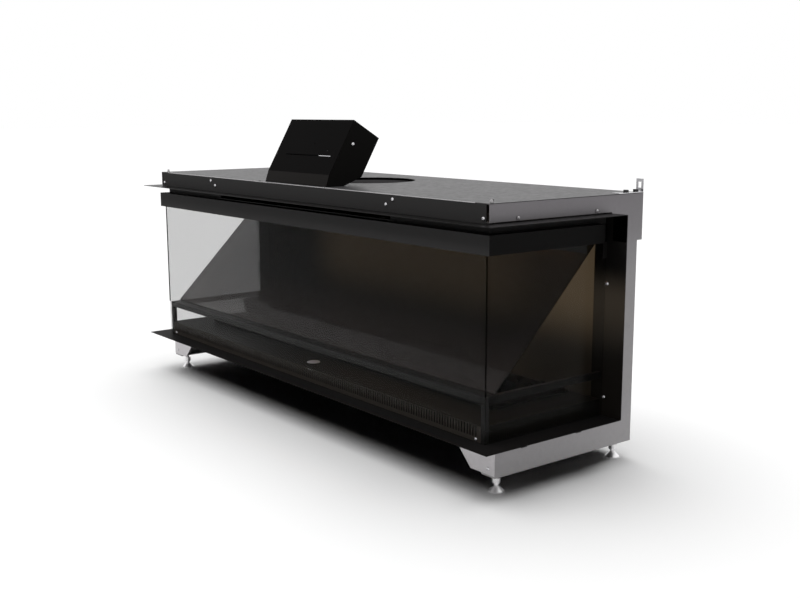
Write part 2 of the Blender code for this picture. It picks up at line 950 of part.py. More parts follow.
def add_log(bm, length, radius, centre, yaw, seed):
    """A bent, tapering branch with a lumpy bark outline, lying on the bed."""
    stations = 12
    around = 11
    rings = []
    for i in range(stations):
        share = i / (stations - 1)
        taper = 1.0 - 0.28 * share + 0.10 * math.sin(5.0 * share + seed)
        bend = 0.35 * radius * math.sin(3.2 * share + seed)
        ring = []
        for j in range(around):
            angle = math.tau * j / around
            lump = 1.0 + 0.10 * math.sin(3 * angle + 2.1 * i + seed)
            lump += 0.06 * math.cos(5 * angle - 1.3 * i)
            reach = radius * taper * lump
            ring.append(Vector((
                (share - 0.5) * length,
                bend + reach * math.cos(angle),
                reach * math.sin(angle),
            )))
        rings.append(ring)
    turn = Matrix.Rotation(yaw, 3, "Z")
    lowest = min(point.z for ring in rings for point in ring)
    lift = Vector(centre) - Vector((0, 0, lowest))
    verts = [[bm.verts.new(turn @ point + lift) for point in ring] for ring in rings]
    for one, two in zip(verts, verts[1:]):
        for j in range(around):
            k = (j + 1) % around
            bm.faces.new((one[j], one[k], two[k], two[j]))
    bm.faces.new(verts[0])
    bm.faces.new(verts[-1])


def make_fire_bed():
    front = fascia_y + bed_front
    low = deck_top_z + seat_gap
    high = low + bed_height
    bm = bmesh.new()
    add_block(bm, (-bed_half_width, bed_half_width), (front, front + bed_depth), (low, high))
    bed = make("ember_bed", bm, paint("ember_resin", (0.05, 0.035, 0.03), 0.8))
    round_edges(bed, bed_rounding)
    bark = paint("charred_bark", (0.035, 0.03, 0.028), 0.9)
    for i, (across, back, turn, long, thick) in enumerate(log_layout_shares):
        centre = (across * bed_half_width, front + back * bed_depth, high + seat_gap)
        bm = bmesh.new()
        add_log(bm, long * log_length, thick * log_radius, centre, turn, float(i))
        make(f"log_{i + 1}", bm, bark, smooth_angle=math.radians(40))


def make_inner_panels():
    bm = bmesh.new()
    add_block(
        bm, (-return_inner_x, return_inner_x), (back_panel_y, back_panel_y + sheet),
        (glass_low_z, ceiling_top_z),
    )
    make("back_panel", bm, black_steel())

    bm = bmesh.new()
    add_block(
        bm, (-post_x, post_x), (post_y, glazing_back_y), (ceiling_low_z, ceiling_top_z),
    )
    ceiling = make("ceiling_panel", bm, black_steel())
    screen_y = fascia_y + screen_front
    bm = bmesh.new()
    add_block(
        bm, (-screen_half_width, screen_half_width), (screen_y, screen_y + screen_depth),
        (ceiling_low_z - cut_overrun, ceiling_top_z + cut_overrun),
    )
    combine(ceiling, "screen_opening", bm)
    bm = bmesh.new()
    low = ceiling_top_z + seat_gap
    add_block(
        bm, (-screen_half_width - screen_overlap, screen_half_width + screen_overlap),
        (screen_y - screen_overlap, screen_y + screen_depth + screen_overlap),
        (low, low + screen_thickness),
    )
    make("projection_screen", bm, paint("frosted_acrylic", (0.5, 0.5, 0.5), 0.6, 0.0, 0.3))
    bm = bmesh.new()
    high = ceiling_low_z - seat_gap
    add_block(
        bm, (-light_bar_half, light_bar_half),
        (light_bar_back_y - light_bar_depth, light_bar_back_y),
        (high - light_bar_height, high),
    )
    tube = make("rear_light_bar", bm, black_steel())
    round_edges(tube, bar_rounding)
    bm = bmesh.new()
    add_block(
        bm, (-light_bar_half - cut_overrun, light_bar_half + cut_overrun),
        (light_bar_back_y - light_bar_depth + light_bar_wall, light_bar_back_y - light_bar_wall),
        (high - light_bar_height + light_bar_wall, high - light_bar_wall),
    )
    combine(tube, "tube_hollow", bm)


def housing_points(shares):
    low = top_z + seat_gap
    return [
        (fascia_y + housing_setback + a * housing_depth, low + b * housing_height)
        for a, b in shares
    ]


def shrink(points, distance):
    """Move each side of an outline inwards by one distance."""
    count = len(points)
    area = sum(
        points[i][0] * points[(i + 1) % count][1] - points[(i + 1) % count][0] * points[i][1]
        for i in range(count)
    )
    turn = 1 if area > 0 else -1
    lines = []
    for i in range(count):
        start = Vector(points[i])
        along = (Vector(points[(i + 1) % count]) - start).normalized()
        inward = Vector((-along.y, along.x)) * turn
        lines.append((start + inward * distance, along))
    inner = []
    for i in range(count):
        (p, u), (q, v) = lines[i - 1], lines[i]
        reach = (q - p).cross(v) / u.cross(v)
        inner.append(tuple(p + u * reach))
    return inner


def make_projector_housing():
    """Tilted sheet-metal hood over the projector, open underneath."""
    points = housing_points(housing_corner_shares)
    half = housing_width / 2
    bm = bmesh.new()
    add_prism(bm, points, "X", -half, half)
    hood = make("projector_housing", bm, paint("housing_black", (0.008, 0.0075, 0.007), 0.5))
    inner = shrink(points, sheet)
    mouth_front, mouth_back = inner[0][0], inner[-1][0] - sheet
    inner.append((mouth_back, inner[-1][1]))
    inner.append((mouth_back, points[0][1] - cut_overrun))
    inner.append((mouth_front, points[0][1] - cut_overrun))
    bm = bmesh.new()
    add_prism(bm, inner, "X", sheet - half, half - sheet)
    combine(hood, "housing_hollow", bm)
    # a slit along the sloping front
    low, high = Vector(points[1]), Vector(points[2])
    along = (high - low).normalized()
    outward = Vector((-along.y, along.x))
    middle = low + (high - low) * housing_slit_share
    rise = along * housing_slit_height / 2
    depth = outward * cut_overrun / 2
    corners = [middle - rise - depth, middle - rise + depth, middle + rise + depth, middle + rise - depth]
    bm = bmesh.new()
    start = housing_slit_offset - housing_slit_length / 2
    add_prism(bm, [tuple(c) for c in corners], "X", start, start + housing_slit_length)
    combine(hood, "housing_slit", bm)


def projector_frame():
    """The projector's middle and its lean, from the housing's sloping front."""
    points = [Vector(p) for p in housing_points(housing_corner_shares)]
    along = (points[2] - points[1]).normalized()
    across = Vector((along.y, -along.x))
    front = points[1]
    thickness = (points[3] - front).dot(across)
    reach = (points[2] - front).length / 2
    middle = front + along * reach + across * thickness / 2
    return middle, along, across


def make_projector():
    middle, along, across = projector_frame()
    pivot = (0, middle.x, middle.y)
    half_long = projector_length / 2
    half_thick = projector_thickness / 2
    corners = [
        middle - along * half_long - across * half_thick,
        middle - along * half_long + across * half_thick,
        middle + along * half_long + across * half_thick,
        middle + along * half_long - across * half_thick,
    ]
    half = projector_width / 2
    bm = bmesh.new()
    add_prism(bm, [tuple(c) for c in corners], "X", -half, half)
    body = make("projector", bm, dark_plastic(), pivot=pivot)
    bm = bmesh.new()
    pin = half + trunnion_length
    add_rod(bm, trunnion_radius, (-pin, middle.x, middle.y), "X", 2 * pin, round_sides)
    combine(body, "trunnions", bm, "UNION")

    end = middle - along * (half_long + seat_gap)
    bm = bmesh.new()
    profile = [
        (0, 0),
        (lens_radius, 0),
        (lens_radius, lens_length),
        (lens_radius - sheet, lens_length),
        (lens_radius - 2 * sheet, lens_length - sheet),
        (0, lens_length - sheet / 2),
    ]
    add_turned(bm, profile, (0, 0, 0), "Z", round_sides)
    turn = Vector((0, 0, 1)).rotation_difference(Vector((0, -along.x, -along.y)))
    bmesh.ops.rotate(bm, verts=bm.verts, cent=(0, 0, 0), matrix=turn.to_matrix())
    bmesh.ops.translate(bm, verts=bm.verts, vec=(0, end.x, end.y))
    lens_material = paint("lens_glass", (0.1, 0.1, 0.12), 0.05, 0.0, 0.5)
    make("projector_lens", bm, lens_material, pivot=pivot, smooth_angle=math.radians(30))

    # two leaning ears joined by a strip in front of the aperture
    inner = half + cradle_clearance
    ear = housing_points(cradle_ear_shares)
    front, low = ear[0]
    bm = bmesh.new()
    outer = inner + sheet
    add_block(bm, (-outer, outer), (front, front + cradle_strip), (low, low + sheet))
    cradle = make("projector_cradle", bm, galvanised())
    bm = bmesh.new()
    for _, side in sides():
        add_prism(bm, ear, "X", *span(side, inner, outer))
    combine(cradle, "cradle_ears", bm, "UNION")
    bm = bmesh.new()
    for _, side in sides():
        centre = (side * (inner + sheet / 2) - cut_overrun, middle.x, middle.y)
        add_rod(bm, trunnion_radius + seat_gap, centre, "X", 2 * cut_overrun, round_sides)
    combine(cradle, "trunnion_holes", bm)


def spiral(radius, growth, wall, start, end, steps):
    """A band round the blower that opens out as it turns."""
    outer, inner = [], []
    for i in range(steps + 1):
        share = i / steps
        angle = start + (end - start) * share
        reach = radius + growth * (1 - share)
        inner.append((blower_y + reach * math.cos(angle), blower_z + reach * math.sin(angle)))
        reach += wall
        outer.append((blower_y + reach * math.cos(angle), blower_z + reach * math.sin(angle)))
    return inner + outer[::-1]


def make_blower():
    """Cross-flow blower: bladed wheel, scroll, motor and finned element."""
    wheel = blower_half_length - sheet - blower_end_gap
    pivot = (0, blower_y, blower_z)
    bm = bmesh.new()
    add_rod(bm, blower_radius, (-wheel, blower_y, blower_z), "X", sheet, round_sides)
    rotor = make("blower_rotor", bm, paint("blower_wheel", (0.2, 0.2, 0.2), 0.5, 0.6), pivot=pivot)
    bm = bmesh.new()
    add_rod(bm, blower_radius, (wheel - sheet, blower_y, blower_z), "X", sheet, round_sides)
    combine(rotor, "wheel_end", bm, "UNION")
    bm = bmesh.new()
    shaft_end = blower_half_length + motor_length * 0.7
    add_rod(bm, blower_shaft, (-blower_half_length - sheet, blower_y, blower_z), "X",
            blower_half_length + sheet + shaft_end, small_sides)
    combine(rotor, "wheel_shaft", bm, "UNION")
    bm = bmesh.new()
    for i in range(blade_count):
        around = math.tau * i / blade_count
        outline = []
        for share, face in ((0, 0), (0.5, 0), (1, 0), (1, 1), (0.5, 1), (0, 1)):
            reach = blower_radius - blade_thickness - blade_depth * share
            curl = around + 0.5 * share * blade_depth / blower_radius * (1 + share)
            curl += face * blade_thickness / blower_radius
            outline.append((blower_y + reach * math.cos(curl), blower_z + reach * math.sin(curl)))
        add_prism(bm, outline, "X", sheet / 2 - wheel, wheel - sheet / 2)
    combine(rotor, "wheel_blades", bm, "UNION")

    shelf = step_z + 2 * sheet + 2 * seat_gap
    back = rear_top_y - sheet - seat_gap
    front = blower_y - (back - blower_y)
    top = blower_z + (blower_z - shelf)
    bm = bmesh.new()
    for _, side in sides():
        add_block(bm, span(side, blower_half_length - sheet, blower_half_length), (front, back), (shelf, top))
    case = make("blower_housing", bm, galvanised())
    bm = bmesh.new()
    reach = blower_radius + scroll_gap
    wrap = spiral(reach, scroll_growth, scroll_wall, math.radians(-150), math.radians(50), 14)
    add_prism(bm, wrap, "X", sheet / 2 - blower_half_length, blower_half_length - sheet / 2)
    combine(case, "blower_scroll", bm, "UNION")
    bm = bmesh.new()
    tongue = spiral(reach, 0, scroll_wall, math.radians(130), math.radians(160), 3)
    add_prism(bm, tongue, "X", sheet / 2 - blower_half_length, blower_half_length - sheet / 2)
    combine(case, "blower_tongue", bm, "UNION")
    bm = bmesh.new()
    add_rod(bm, blower_shaft + seat_gap, (-blower_half_length - cut_overrun, blower_y, blower_z), "X",
            2 * (blower_half_length + cut_overrun), small_sides)
    combine(case, "blower_bearings", bm)

    start = blower_half_length + seat_gap
    bore = blower_shaft + seat_gap
    profile = [
        (bore, 0),
        (motor_radius, 0),
        (motor_radius, motor_length),
        (0, motor_length),
        (0, motor_length * 0.8),
        (bore, motor_length * 0.8),
    ]
    bm = bmesh.new()
    add_turned(bm, profile, (start, blower_y, blower_z), "X", round_sides)
    make("blower_motor", bm, dark_plastic(), smooth_angle=math.radians(30))

    # the element is clipped to the front edges of the blower's end plates
    face = front - seat_gap
    low = blower_z - element_height / 2
    high = blower_z + element_height / 2
    pitch = 2 * blower_half_length / fin_count
    rim = 2 * sheet
    bm = bmesh.new()
    add_block(bm, (-blower_half_length, blower_half_length), (face - element_depth, face), (low, high))
    element = make("heating_element", bm, paint("element_alloy", (0.5, 0.45, 0.4), 0.4, 0.9))
    bm = bmesh.new()
    for i in range(fin_count):
        x = -blower_half_length + (i + 0.5) * pitch
        half = (pitch - fin_thickness) / 2
        add_block(bm, (x - half, x + half), (face - element_depth - cut_overrun, face + cut_overrun),
                  (low + rim, high - rim))
    combine(element, "fin_gaps", bm)


def make_electrics():
    back = rear_sheet_y - sheet - seat_gap
    low = plate_top_z + control_rise
    bm = bmesh.new()
    add_block(
        bm, (control_offset, control_offset + control_width),
        (back - control_depth, back), (low, low + control_height),
    )
    box = make("control_box", bm, dark_plastic())
    round_edges(box, sheet)
    profile = [
        (0, inlet_inside * -1),
        (inlet_nut_radius, -inlet_inside),
        (inlet_nut_radius, -sheet - seat_gap),
        (inlet_radius, -sheet - seat_gap),
        (inlet_radius, seat_gap),
        (inlet_nut_radius, seat_gap),
        (inlet_nut_radius, inlet_outside * 0.55),
        (inlet_radius, inlet_outside),
        (inlet_radius / 2, inlet_outside),
        (inlet_radius / 2, inlet_outside * 0.5),
        (0, inlet_outside * 0.5),
    ]
    bm = bmesh.new()
    centre = (-inlet_offset, rear_sheet_y, step_z - inlet_drop)
    add_turned(bm, profile, centre, "Y", round_sides)
    make("mains_inlet", bm, dark_plastic(), smooth_angle=math.radians(30))


def foot_places():
    return (
        ("front", base_front_y + sheet + foot_front_inset),
        ("rear", column_back_y - foot_rear_inset),
    )


def make_feet():
    """Screw feet: cone pads with stems that turn in them and in the frame's nuts."""
    bore = stem_radius + thread_clearance
    neck_z = pad_rim + pad_slope + pad_neck
    for label, side in sides():
        for end, y in foot_places():
            x = side * foot_offset
            profile = [
                (0, 0),
                (pad_radius, 0),
                (pad_radius, pad_rim),
                (pad_neck_radius, pad_rim + pad_slope),
                (pad_neck_radius, neck_z),
                (bore, neck_z),
                (bore, neck_z - stem_socket),
                (0, neck_z - stem_socket),
            ]
            bm = bmesh.new()
            add_turned(bm, profile, (x, y, 0), "Z", round_sides)
            make(f"foot_pad_{end}_{label}", bm, zinc(), pivot=(x, y, 0), smooth_angle=math.radians(30))
            start = neck_z - stem_socket + seat_gap
            collar = neck_z + seat_gap
            bm = bmesh.new()
            add_rod(bm, stem_radius, (x, y, start), "Z", foot_height + stem_top - start, small_sides)
            stem = make(f"foot_stem_{end}_{label}", bm, zinc(), pivot=(x, y, 0))
            profile = [
                (0, collar),
                (stem_waist_radius, collar),
                (stem_collar_radius, collar + stem_flare),
                (stem_collar_radius, collar + stem_flare + stem_collar),
                (0, collar + stem_flare + stem_collar),
            ]
            bm = bmesh.new()
            add_turned(bm, profile, (x, y, 0), "Z", small_sides)
            combine(stem, f"stem_collar_{end}_{label}", bm, "UNION")


def make_wall_brackets():
    """Slotted L brackets that slide back towards the wall."""
    low = top_z + seat_gap
    for label, side in sides():
        outline = [
            (casing_back_y - bracket_arm, low),
            (casing_back_y, low),
            (casing_back_y, low + bracket_height),
            (casing_back_y - sheet, low + bracket_height),
            (casing_back_y - sheet, low + sheet),
            (casing_back_y - bracket_arm, low + sheet),
        ]
        inner = bracket_offset - bracket_width / 2
        bm = bmesh.new()
        add_prism(bm, outline, "X", *span(side, inner, inner + bracket_width))
        pivot = (side * bracket_offset, casing_back_y, low)
        bracket = make(f"wall_bracket_{label}", bm, zinc(), pivot=pivot)
        half = bracket_slot_width / 2
        bm = bmesh.new()
        add_block(
            bm, (side * bracket_offset - half, side * bracket_offset + half),
            (casing_back_y - bracket_slot_front, casing_back_y - bracket_slot_back),
            (low - cut_overrun, low + sheet + cut_overrun),
        )
        middle = low + bracket_height / 2 + sheet
        add_block(
            bm, (side * bracket_offset - wall_slot_width / 2, side * bracket_offset + wall_slot_width / 2),
            (casing_back_y - sheet - cut_overrun, casing_back_y + cut_overrun),
            (middle - wall_slot_height / 2, middle + wall_slot_height / 2),
        )
        combine(bracket, f"bracket_slots_{label}", bm)


clear_scene()
make_side_frames()
make_gussets()
make_top_cover()
make_vent_dish()
make_rear_panels()
make_top_fascia()
make_three_sided_sheets()
make_bottom_plate()
make_side_trims()
make_glass()
make_low_frame()
make_mirror()
make_deck()
make_air_grille()
make_button()
make_fire_bed()
make_inner_panels()
make_projector_housing()
make_projector()
make_blower()
make_electrics()
make_feet()
make_wall_brackets()
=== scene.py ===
import bpy
import math
import numpy as np
from mathutils import Matrix, Vector


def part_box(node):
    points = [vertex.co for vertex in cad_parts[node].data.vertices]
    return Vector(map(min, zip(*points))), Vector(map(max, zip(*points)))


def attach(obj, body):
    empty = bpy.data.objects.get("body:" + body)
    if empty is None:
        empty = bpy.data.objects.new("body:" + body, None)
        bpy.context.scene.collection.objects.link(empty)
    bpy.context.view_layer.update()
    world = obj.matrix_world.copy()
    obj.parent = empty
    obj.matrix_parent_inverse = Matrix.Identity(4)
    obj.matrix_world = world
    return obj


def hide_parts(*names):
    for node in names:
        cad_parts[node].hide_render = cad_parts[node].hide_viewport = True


# Three-sided built-in electric fireplace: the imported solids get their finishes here,
# and the small pieces that the solids leave out are added.

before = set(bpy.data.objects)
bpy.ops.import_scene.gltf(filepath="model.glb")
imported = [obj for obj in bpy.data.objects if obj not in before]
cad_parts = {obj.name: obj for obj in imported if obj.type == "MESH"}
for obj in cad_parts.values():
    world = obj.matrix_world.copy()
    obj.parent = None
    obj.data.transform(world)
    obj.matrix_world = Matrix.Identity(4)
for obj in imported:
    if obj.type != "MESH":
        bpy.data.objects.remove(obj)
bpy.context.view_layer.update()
print("loaded", len(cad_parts), "solids")


# Helpers

def toLinear(hexColor):
    # sRGB hex to linear light: divide by 12.92 near black, else a 2.4 power curve
    values = [int(hexColor[i:i + 2], 16) / 255 for i in (0, 2, 4)]
    return tuple(v / 12.92 if v <= 0.04045 else ((v + 0.055) / 1.055) ** 2.4 for v in values)


def addNode(tree, kind, settings=None, links=None):
    # links go to an input by its name, or by its number where two inputs share a name
    node = tree.nodes.new(kind)
    for key, value in (settings or {}).items():
        if key in node.inputs:
            node.inputs[key].default_value = value
        else:
            setattr(node, key, value)
    for key, source in (links or {}).items():
        tree.links.new(source, node.inputs[key])
    return node


def startMaterial(name):
    material = bpy.data.materials.new(name)
    material.use_nodes = True
    tree = material.node_tree
    tree.nodes.clear()
    output = tree.nodes.new("ShaderNodeOutputMaterial")
    return material, tree, output


def colorRamp(tree, source, stops):
    # stops are (place, hex) pairs
    ramp = addNode(tree, "ShaderNodeValToRGB", links={"Fac": source})
    while len(ramp.color_ramp.elements) < len(stops):
        ramp.color_ramp.elements.new(0.5)
    for element, (place, hexColor) in zip(ramp.color_ramp.elements, stops):
        element.position = place
        element.color = (*toLinear(hexColor), 1)
    return ramp.outputs["Color"]


creaseAngle = math.radians(35)


def makePiece(name, points, faces, material, body="root", slot=None, smooth=True):
    mesh = bpy.data.meshes.new(name)
    mesh.from_pydata(np.asarray(points, float).tolist(), [], [list(map(int, f)) for f in faces])
    mesh.validate()
    if smooth:
        mesh.shade_smooth()
        mesh.set_sharp_from_angle(angle=creaseAngle)
    piece = bpy.data.objects.new(name, mesh)
    bpy.context.scene.collection.objects.link(piece)
    mesh.materials.append(material)
    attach(piece, body)
    return piece


def turnFrame(direction):
    # three columns: two across and one along the direction
    along = np.array(direction, float)
    along /= np.linalg.norm(along)
    helper = np.array([1.0, 0, 0]) if abs(along[0]) < 0.9 else np.array([0, 1.0, 0])
    across = np.cross(helper, along)
    across /= np.linalg.norm(across)
    return np.stack([across, np.cross(along, across), along], axis=1)


def placed(shape, centre, direction):
    points, faces = shape
    return points @ turnFrame(direction).T + np.asarray(centre, float), faces


def turnedAboutZ(points, turn):
    c, s = math.cos(turn), math.sin(turn)
    return points @ np.array([[c, -s, 0], [s, c, 0], [0, 0, 1]]).T


def joinShapes(shapes):
    points, faces, start = [], [], 0
    for shapePoints, shapeFaces in shapes:
        points.append(np.asarray(shapePoints, float))
        faces += [[int(v) + start for v in face] for face in shapeFaces]
        start += len(shapePoints)
    return np.concatenate(points), faces


def turnedSurface(profile, steps):
    # each (radius, height) pair is carried round a full circle: x = r cos, y = r sin, z = h;
    # the profile starts and ends on the axis, so the surface closes there
    profile = np.asarray(profile, float)
    angle = np.linspace(0, math.tau, steps, endpoint=False)
    ring = np.stack([np.cos(angle), np.sin(angle)], axis=1)
    inner = profile[1:-1]
    body = np.concatenate([
        inner[:, None, :1] * ring[None],
        np.broadcast_to(inner[:, None, 1:], (len(inner), steps, 1)),
    ], axis=2).reshape(-1, 3)
    points = np.concatenate([[[0, 0, profile[0, 1]]], body, [[0, 0, profile[-1, 1]]]])
    i = np.arange(len(inner) - 1)[:, None] * steps + 1
    j = np.arange(steps)[None]
    k = (j + 1) % steps
    quads = np.stack([i + j, i + k, i + steps + k, i + steps + j], axis=2).reshape(-1, 4)
    first = np.stack([np.zeros(steps), 1 + k[0], 1 + j[0]], axis=1)
    base = 1 + (len(inner) - 1) * steps
    last = np.stack([np.full(steps, len(points) - 1), base + j[0], base + k[0]], axis=1)
    return points, [list(f) for f in quads] + [list(f) for f in first] + [list(f) for f in last]


def prismStrip(xs, outline):
    # a flat (y, z) outline carried straight from one x to the other
    outline = np.asarray(outline, float)
    points = np.concatenate([np.column_stack([np.full(len(outline), x), outline]) for x in xs])
    n = len(outline)
    faces = [[i, (i + 1) % n, n + (i + 1) % n, n + i] for i in range(n)]
    return points, faces + [list(range(n))[::-1], list(range(n, 2 * n))]


def boxStrip(xs, ys, zs):
    return prismStrip(xs, [(ys[0], zs[0]), (ys[1], zs[0]), (ys[1], zs[1]), (ys[0], zs[1])])


# Finishes

galvanisedLook = {
    # painted shade: the frames' galvanised tone darkens towards the top, for how the light falls on them
    "frame": [(0.0, "9A9899"), (0.14, "918F91"), (0.20, "8E8C8D"), (0.70, "878586"),
              (0.80, "807E80"), (0.86, "787678"), (1.0, "726F72")],
    "frameShadeHeights": (0.049, 0.750),
    # painted shade in the round recess: dark grey floor, near-black wall
    "recess": [(0.0, "353435"), (0.22, "353435"), (0.27, "0C0B0B"), (1.0, "070606")],
    "recessShadeHeights": (0.7405, 0.7482),
    # gusset: lighter than the frames, a painted highlight on the base gussets; the bright edge tone: a painted
    # highlight along the cover's front edge, also the bright zinc of tabs and screws
    "gusset": "C4C1C3", "cover": "454445", "edgeHighlightAndBright": "DEDCDD",
    "spangle": 0.012, "patchTone": (0.95, 1.05), "roughness": (0.37, 0.48),
    # the factor for a sheet's inner face: painted shade, near black
    "innerShadeTone": 0.06, "innerShadeBlend": 0.0002, "sheetMiddle": 0.0007,
}


def evenTone(hexColor):
    return [(0.0, hexColor), (1.0, hexColor)]


def makeGalvanised(name, stops, heights=(0, 1), metallic=0.85, specular=0.5, shadeBeforeY=None):
    # hot-dip galvanised sheet: grey metal with faint crystal patches about 12 mm across. The tone that follows the
    # height is painted shade, darker towards the top; a sheet given a Y gets painted shade, near black, on the face in
    # front of that Y
    look = galvanisedLook
    material, tree, output = startMaterial(name)
    place = addNode(tree, "ShaderNodeTexCoord").outputs["Object"]
    parts = addNode(tree, "ShaderNodeSeparateXYZ", links={"Vector": place})
    share = addNode(tree, "ShaderNodeMapRange", {"From Min": heights[0], "From Max": heights[1]},
                    {"Value": parts.outputs["Z"]})
    tone = colorRamp(tree, share.outputs["Result"], stops)
    if shadeBeforeY is not None:
        outer = addNode(tree, "ShaderNodeMapRange",
                        {"From Min": shadeBeforeY - look["innerShadeBlend"], "From Max": shadeBeforeY + look["innerShadeBlend"],
                         "To Min": look["innerShadeTone"]},
                        {"Value": parts.outputs["Y"]})
        tone = addNode(tree, "ShaderNodeVectorMath", {"operation": "SCALE"},
                       {"Vector": tone, "Scale": outer.outputs["Result"]}).outputs["Vector"]
    crystals = addNode(tree, "ShaderNodeTexVoronoi", {"Scale": 1 / look["spangle"]}, {"Vector": place})
    patches, rough = (
        addNode(tree, "ShaderNodeMapRange", {"To Min": look[key][0], "To Max": look[key][1]},
                {"Value": crystals.outputs["Color"]})
        for key in ("patchTone", "roughness"))
    colored = addNode(tree, "ShaderNodeVectorMath", {"operation": "SCALE"},
                      {"Vector": tone, "Scale": patches.outputs["Result"]})
    shader = addNode(tree, "ShaderNodeBsdfPrincipled",
                     {"Metallic": metallic, "Specular IOR Level": specular},
                     {"Base Color": colored.outputs["Vector"], "Roughness": rough.outputs["Result"]})
    tree.links.new(shader.outputs["BSDF"], output.inputs["Surface"])
    return material


coatLook = {"grain": 0.0015, "detail": 2.0, "tone": (0.93, 1.07), "bump": 0.08, "depth": 0.0002, "edge": 0.001}


def orangePeel(tree, place):
    # the fine grain of a powder coat, about 1.5 mm across, and the relief that it gives
    look = coatLook
    peel = addNode(tree, "ShaderNodeTexNoise", {"Scale": 1 / look["grain"], "Detail": look["detail"]},
                   {"Vector": place})
    relief = addNode(tree, "ShaderNodeBump", {"Strength": look["bump"], "Distance": look["depth"]},
                     {"Height": peel.outputs["Fac"]})
    return peel.outputs["Fac"], relief.outputs["Normal"]


def makePowderCoat(name, hexColor, roughness=0.5, specular=0.12, shadedBehind=None):
    # powder coat on steel: one colour, or a darker second one behind a given Y, which paints shade on the faces that
    # turn from the light
    material, tree, output = startMaterial(name)
    place = addNode(tree, "ShaderNodeTexCoord").outputs["Object"]
    peel, normal = orangePeel(tree, place)
    low, high = coatLook["tone"]
    tone = addNode(tree, "ShaderNodeMapRange", {"To Min": low, "To Max": high}, {"Value": peel})
    shadedY, shadedHex = shadedBehind or (0, hexColor)
    parts = addNode(tree, "ShaderNodeSeparateXYZ", links={"Vector": place})
    share = addNode(tree, "ShaderNodeMapRange", {"From Min": shadedY, "From Max": shadedY + coatLook["edge"]},
                    {"Value": parts.outputs["Y"]})
    color = colorRamp(tree, share.outputs["Result"], [(0.0, hexColor), (1.0, shadedHex)])
    colored = addNode(tree, "ShaderNodeVectorMath", {"operation": "SCALE"},
                      {"Vector": color, "Scale": tone.outputs["Result"]})
    shader = addNode(tree, "ShaderNodeBsdfPrincipled",
                     {"Roughness": roughness, "Specular IOR Level": specular},
                     {"Base Color": colored.outputs["Vector"], "Normal": normal})
    tree.links.new(shader.outputs["BSDF"], output.inputs["Surface"])
    return material


# painted light: the light bar's warm wash, given as glow on the back panel and more faintly on the side trims
barWash = {
    "color": (1.0, 0.72, 0.42, 1), "strength": 0.24, "right": 0.30, "low": 0.06,
    "leftEdge": (-0.60, -0.36), "rightFall": (0.40, 0.70), "rise": (0.29, 0.47), "top": (0.70, 0.80),
}
trimWash = {**barWash, "color": (1.0, 0.80, 0.58, 1), "strength": 0.055, "right": 0.45,
            "rise": (0.30, 0.46), "top": (0.47, 0.56)}


def makeCoatWithPaintedWash(name, hexColor, roughness, wash):
    # black coat with the light bar's warm wash painted on as a glow, which is painted light: strongest along the bar
    # and faint half way down.
    # strength = rise with the height x fall above the top x rise past the bar's left end
    # x fall towards the right end
    material, tree, output = startMaterial(name)
    place = addNode(tree, "ShaderNodeTexCoord").outputs["Object"]
    parts = addNode(tree, "ShaderNodeSeparateXYZ", links={"Vector": place})
    eased = [
        ("Z", wash["rise"], wash["low"], 1.0),
        ("Z", wash["top"], 1.0, 0.0),
        ("X", wash["leftEdge"], 0.0, 1.0),
        ("X", wash["rightFall"], wash["strength"], wash["strength"] * wash["right"]),
    ]
    strength = None
    for axis, (start, end), before, after in eased:
        share = addNode(tree, "ShaderNodeMapRange",
                        {"interpolation_type": "SMOOTHSTEP", "From Min": start, "From Max": end,
                         "To Min": before, "To Max": after},
                        {"Value": parts.outputs[axis]}).outputs["Result"]
        if strength is not None:
            share = addNode(tree, "ShaderNodeMath", {"operation": "MULTIPLY"}, {0: strength, 1: share}).outputs[0]
        strength = share
    normal = orangePeel(tree, place)[1]
    shader = addNode(tree, "ShaderNodeBsdfPrincipled",
                     {"Base Color": (*toLinear(hexColor), 1), "Roughness": roughness,
                      "Specular IOR Level": 0.12, "Emission Color": wash["color"]},
                     {"Emission Strength": strength, "Normal": normal})
    tree.links.new(shader.outputs["BSDF"], output.inputs["Surface"])
    return material


deckLook = {"pitch": 0.004, "lean": math.radians(30), "waveLength": 0.314, "bump": 0.08, "depth": 0.0004}


def makeDeckFinish(name, hexLow, hexHigh):
    # embossed sheet: small diamonds about 4 mm apart, drawn from two crossing sets of waves;
    # waveLength is what a wave texture of scale 1 repeats at
    look = deckLook
    material, tree, output = startMaterial(name)
    place = addNode(tree, "ShaderNodeTexCoord").outputs["Object"]
    heights = []
    for turn in (look["lean"], -look["lean"]):
        turned = addNode(tree, "ShaderNodeMapping", {"Rotation": (0, 0, turn)}, {"Vector": place})
        wave = addNode(tree, "ShaderNodeTexWave", {"Scale": look["waveLength"] / look["pitch"]},
                       {"Vector": turned.outputs["Vector"]})
        heights.append(wave.outputs["Fac"])
    crossing = addNode(tree, "ShaderNodeMath", {"operation": "MULTIPLY"}, dict(enumerate(heights))).outputs[0]
    tone = colorRamp(tree, crossing, [(0.1, hexLow), (0.8, hexHigh)])
    relief = addNode(tree, "ShaderNodeBump", {"Strength": look["bump"], "Distance": look["depth"]},
                     {"Height": crossing})
    shader = addNode(tree, "ShaderNodeBsdfPrincipled", {"Roughness": 0.5, "Specular IOR Level": 0.03},
                     {"Base Color": tone, "Normal": relief.outputs["Normal"]})
    tree.links.new(shader.outputs["BSDF"], output.inputs["Surface"])
    return material


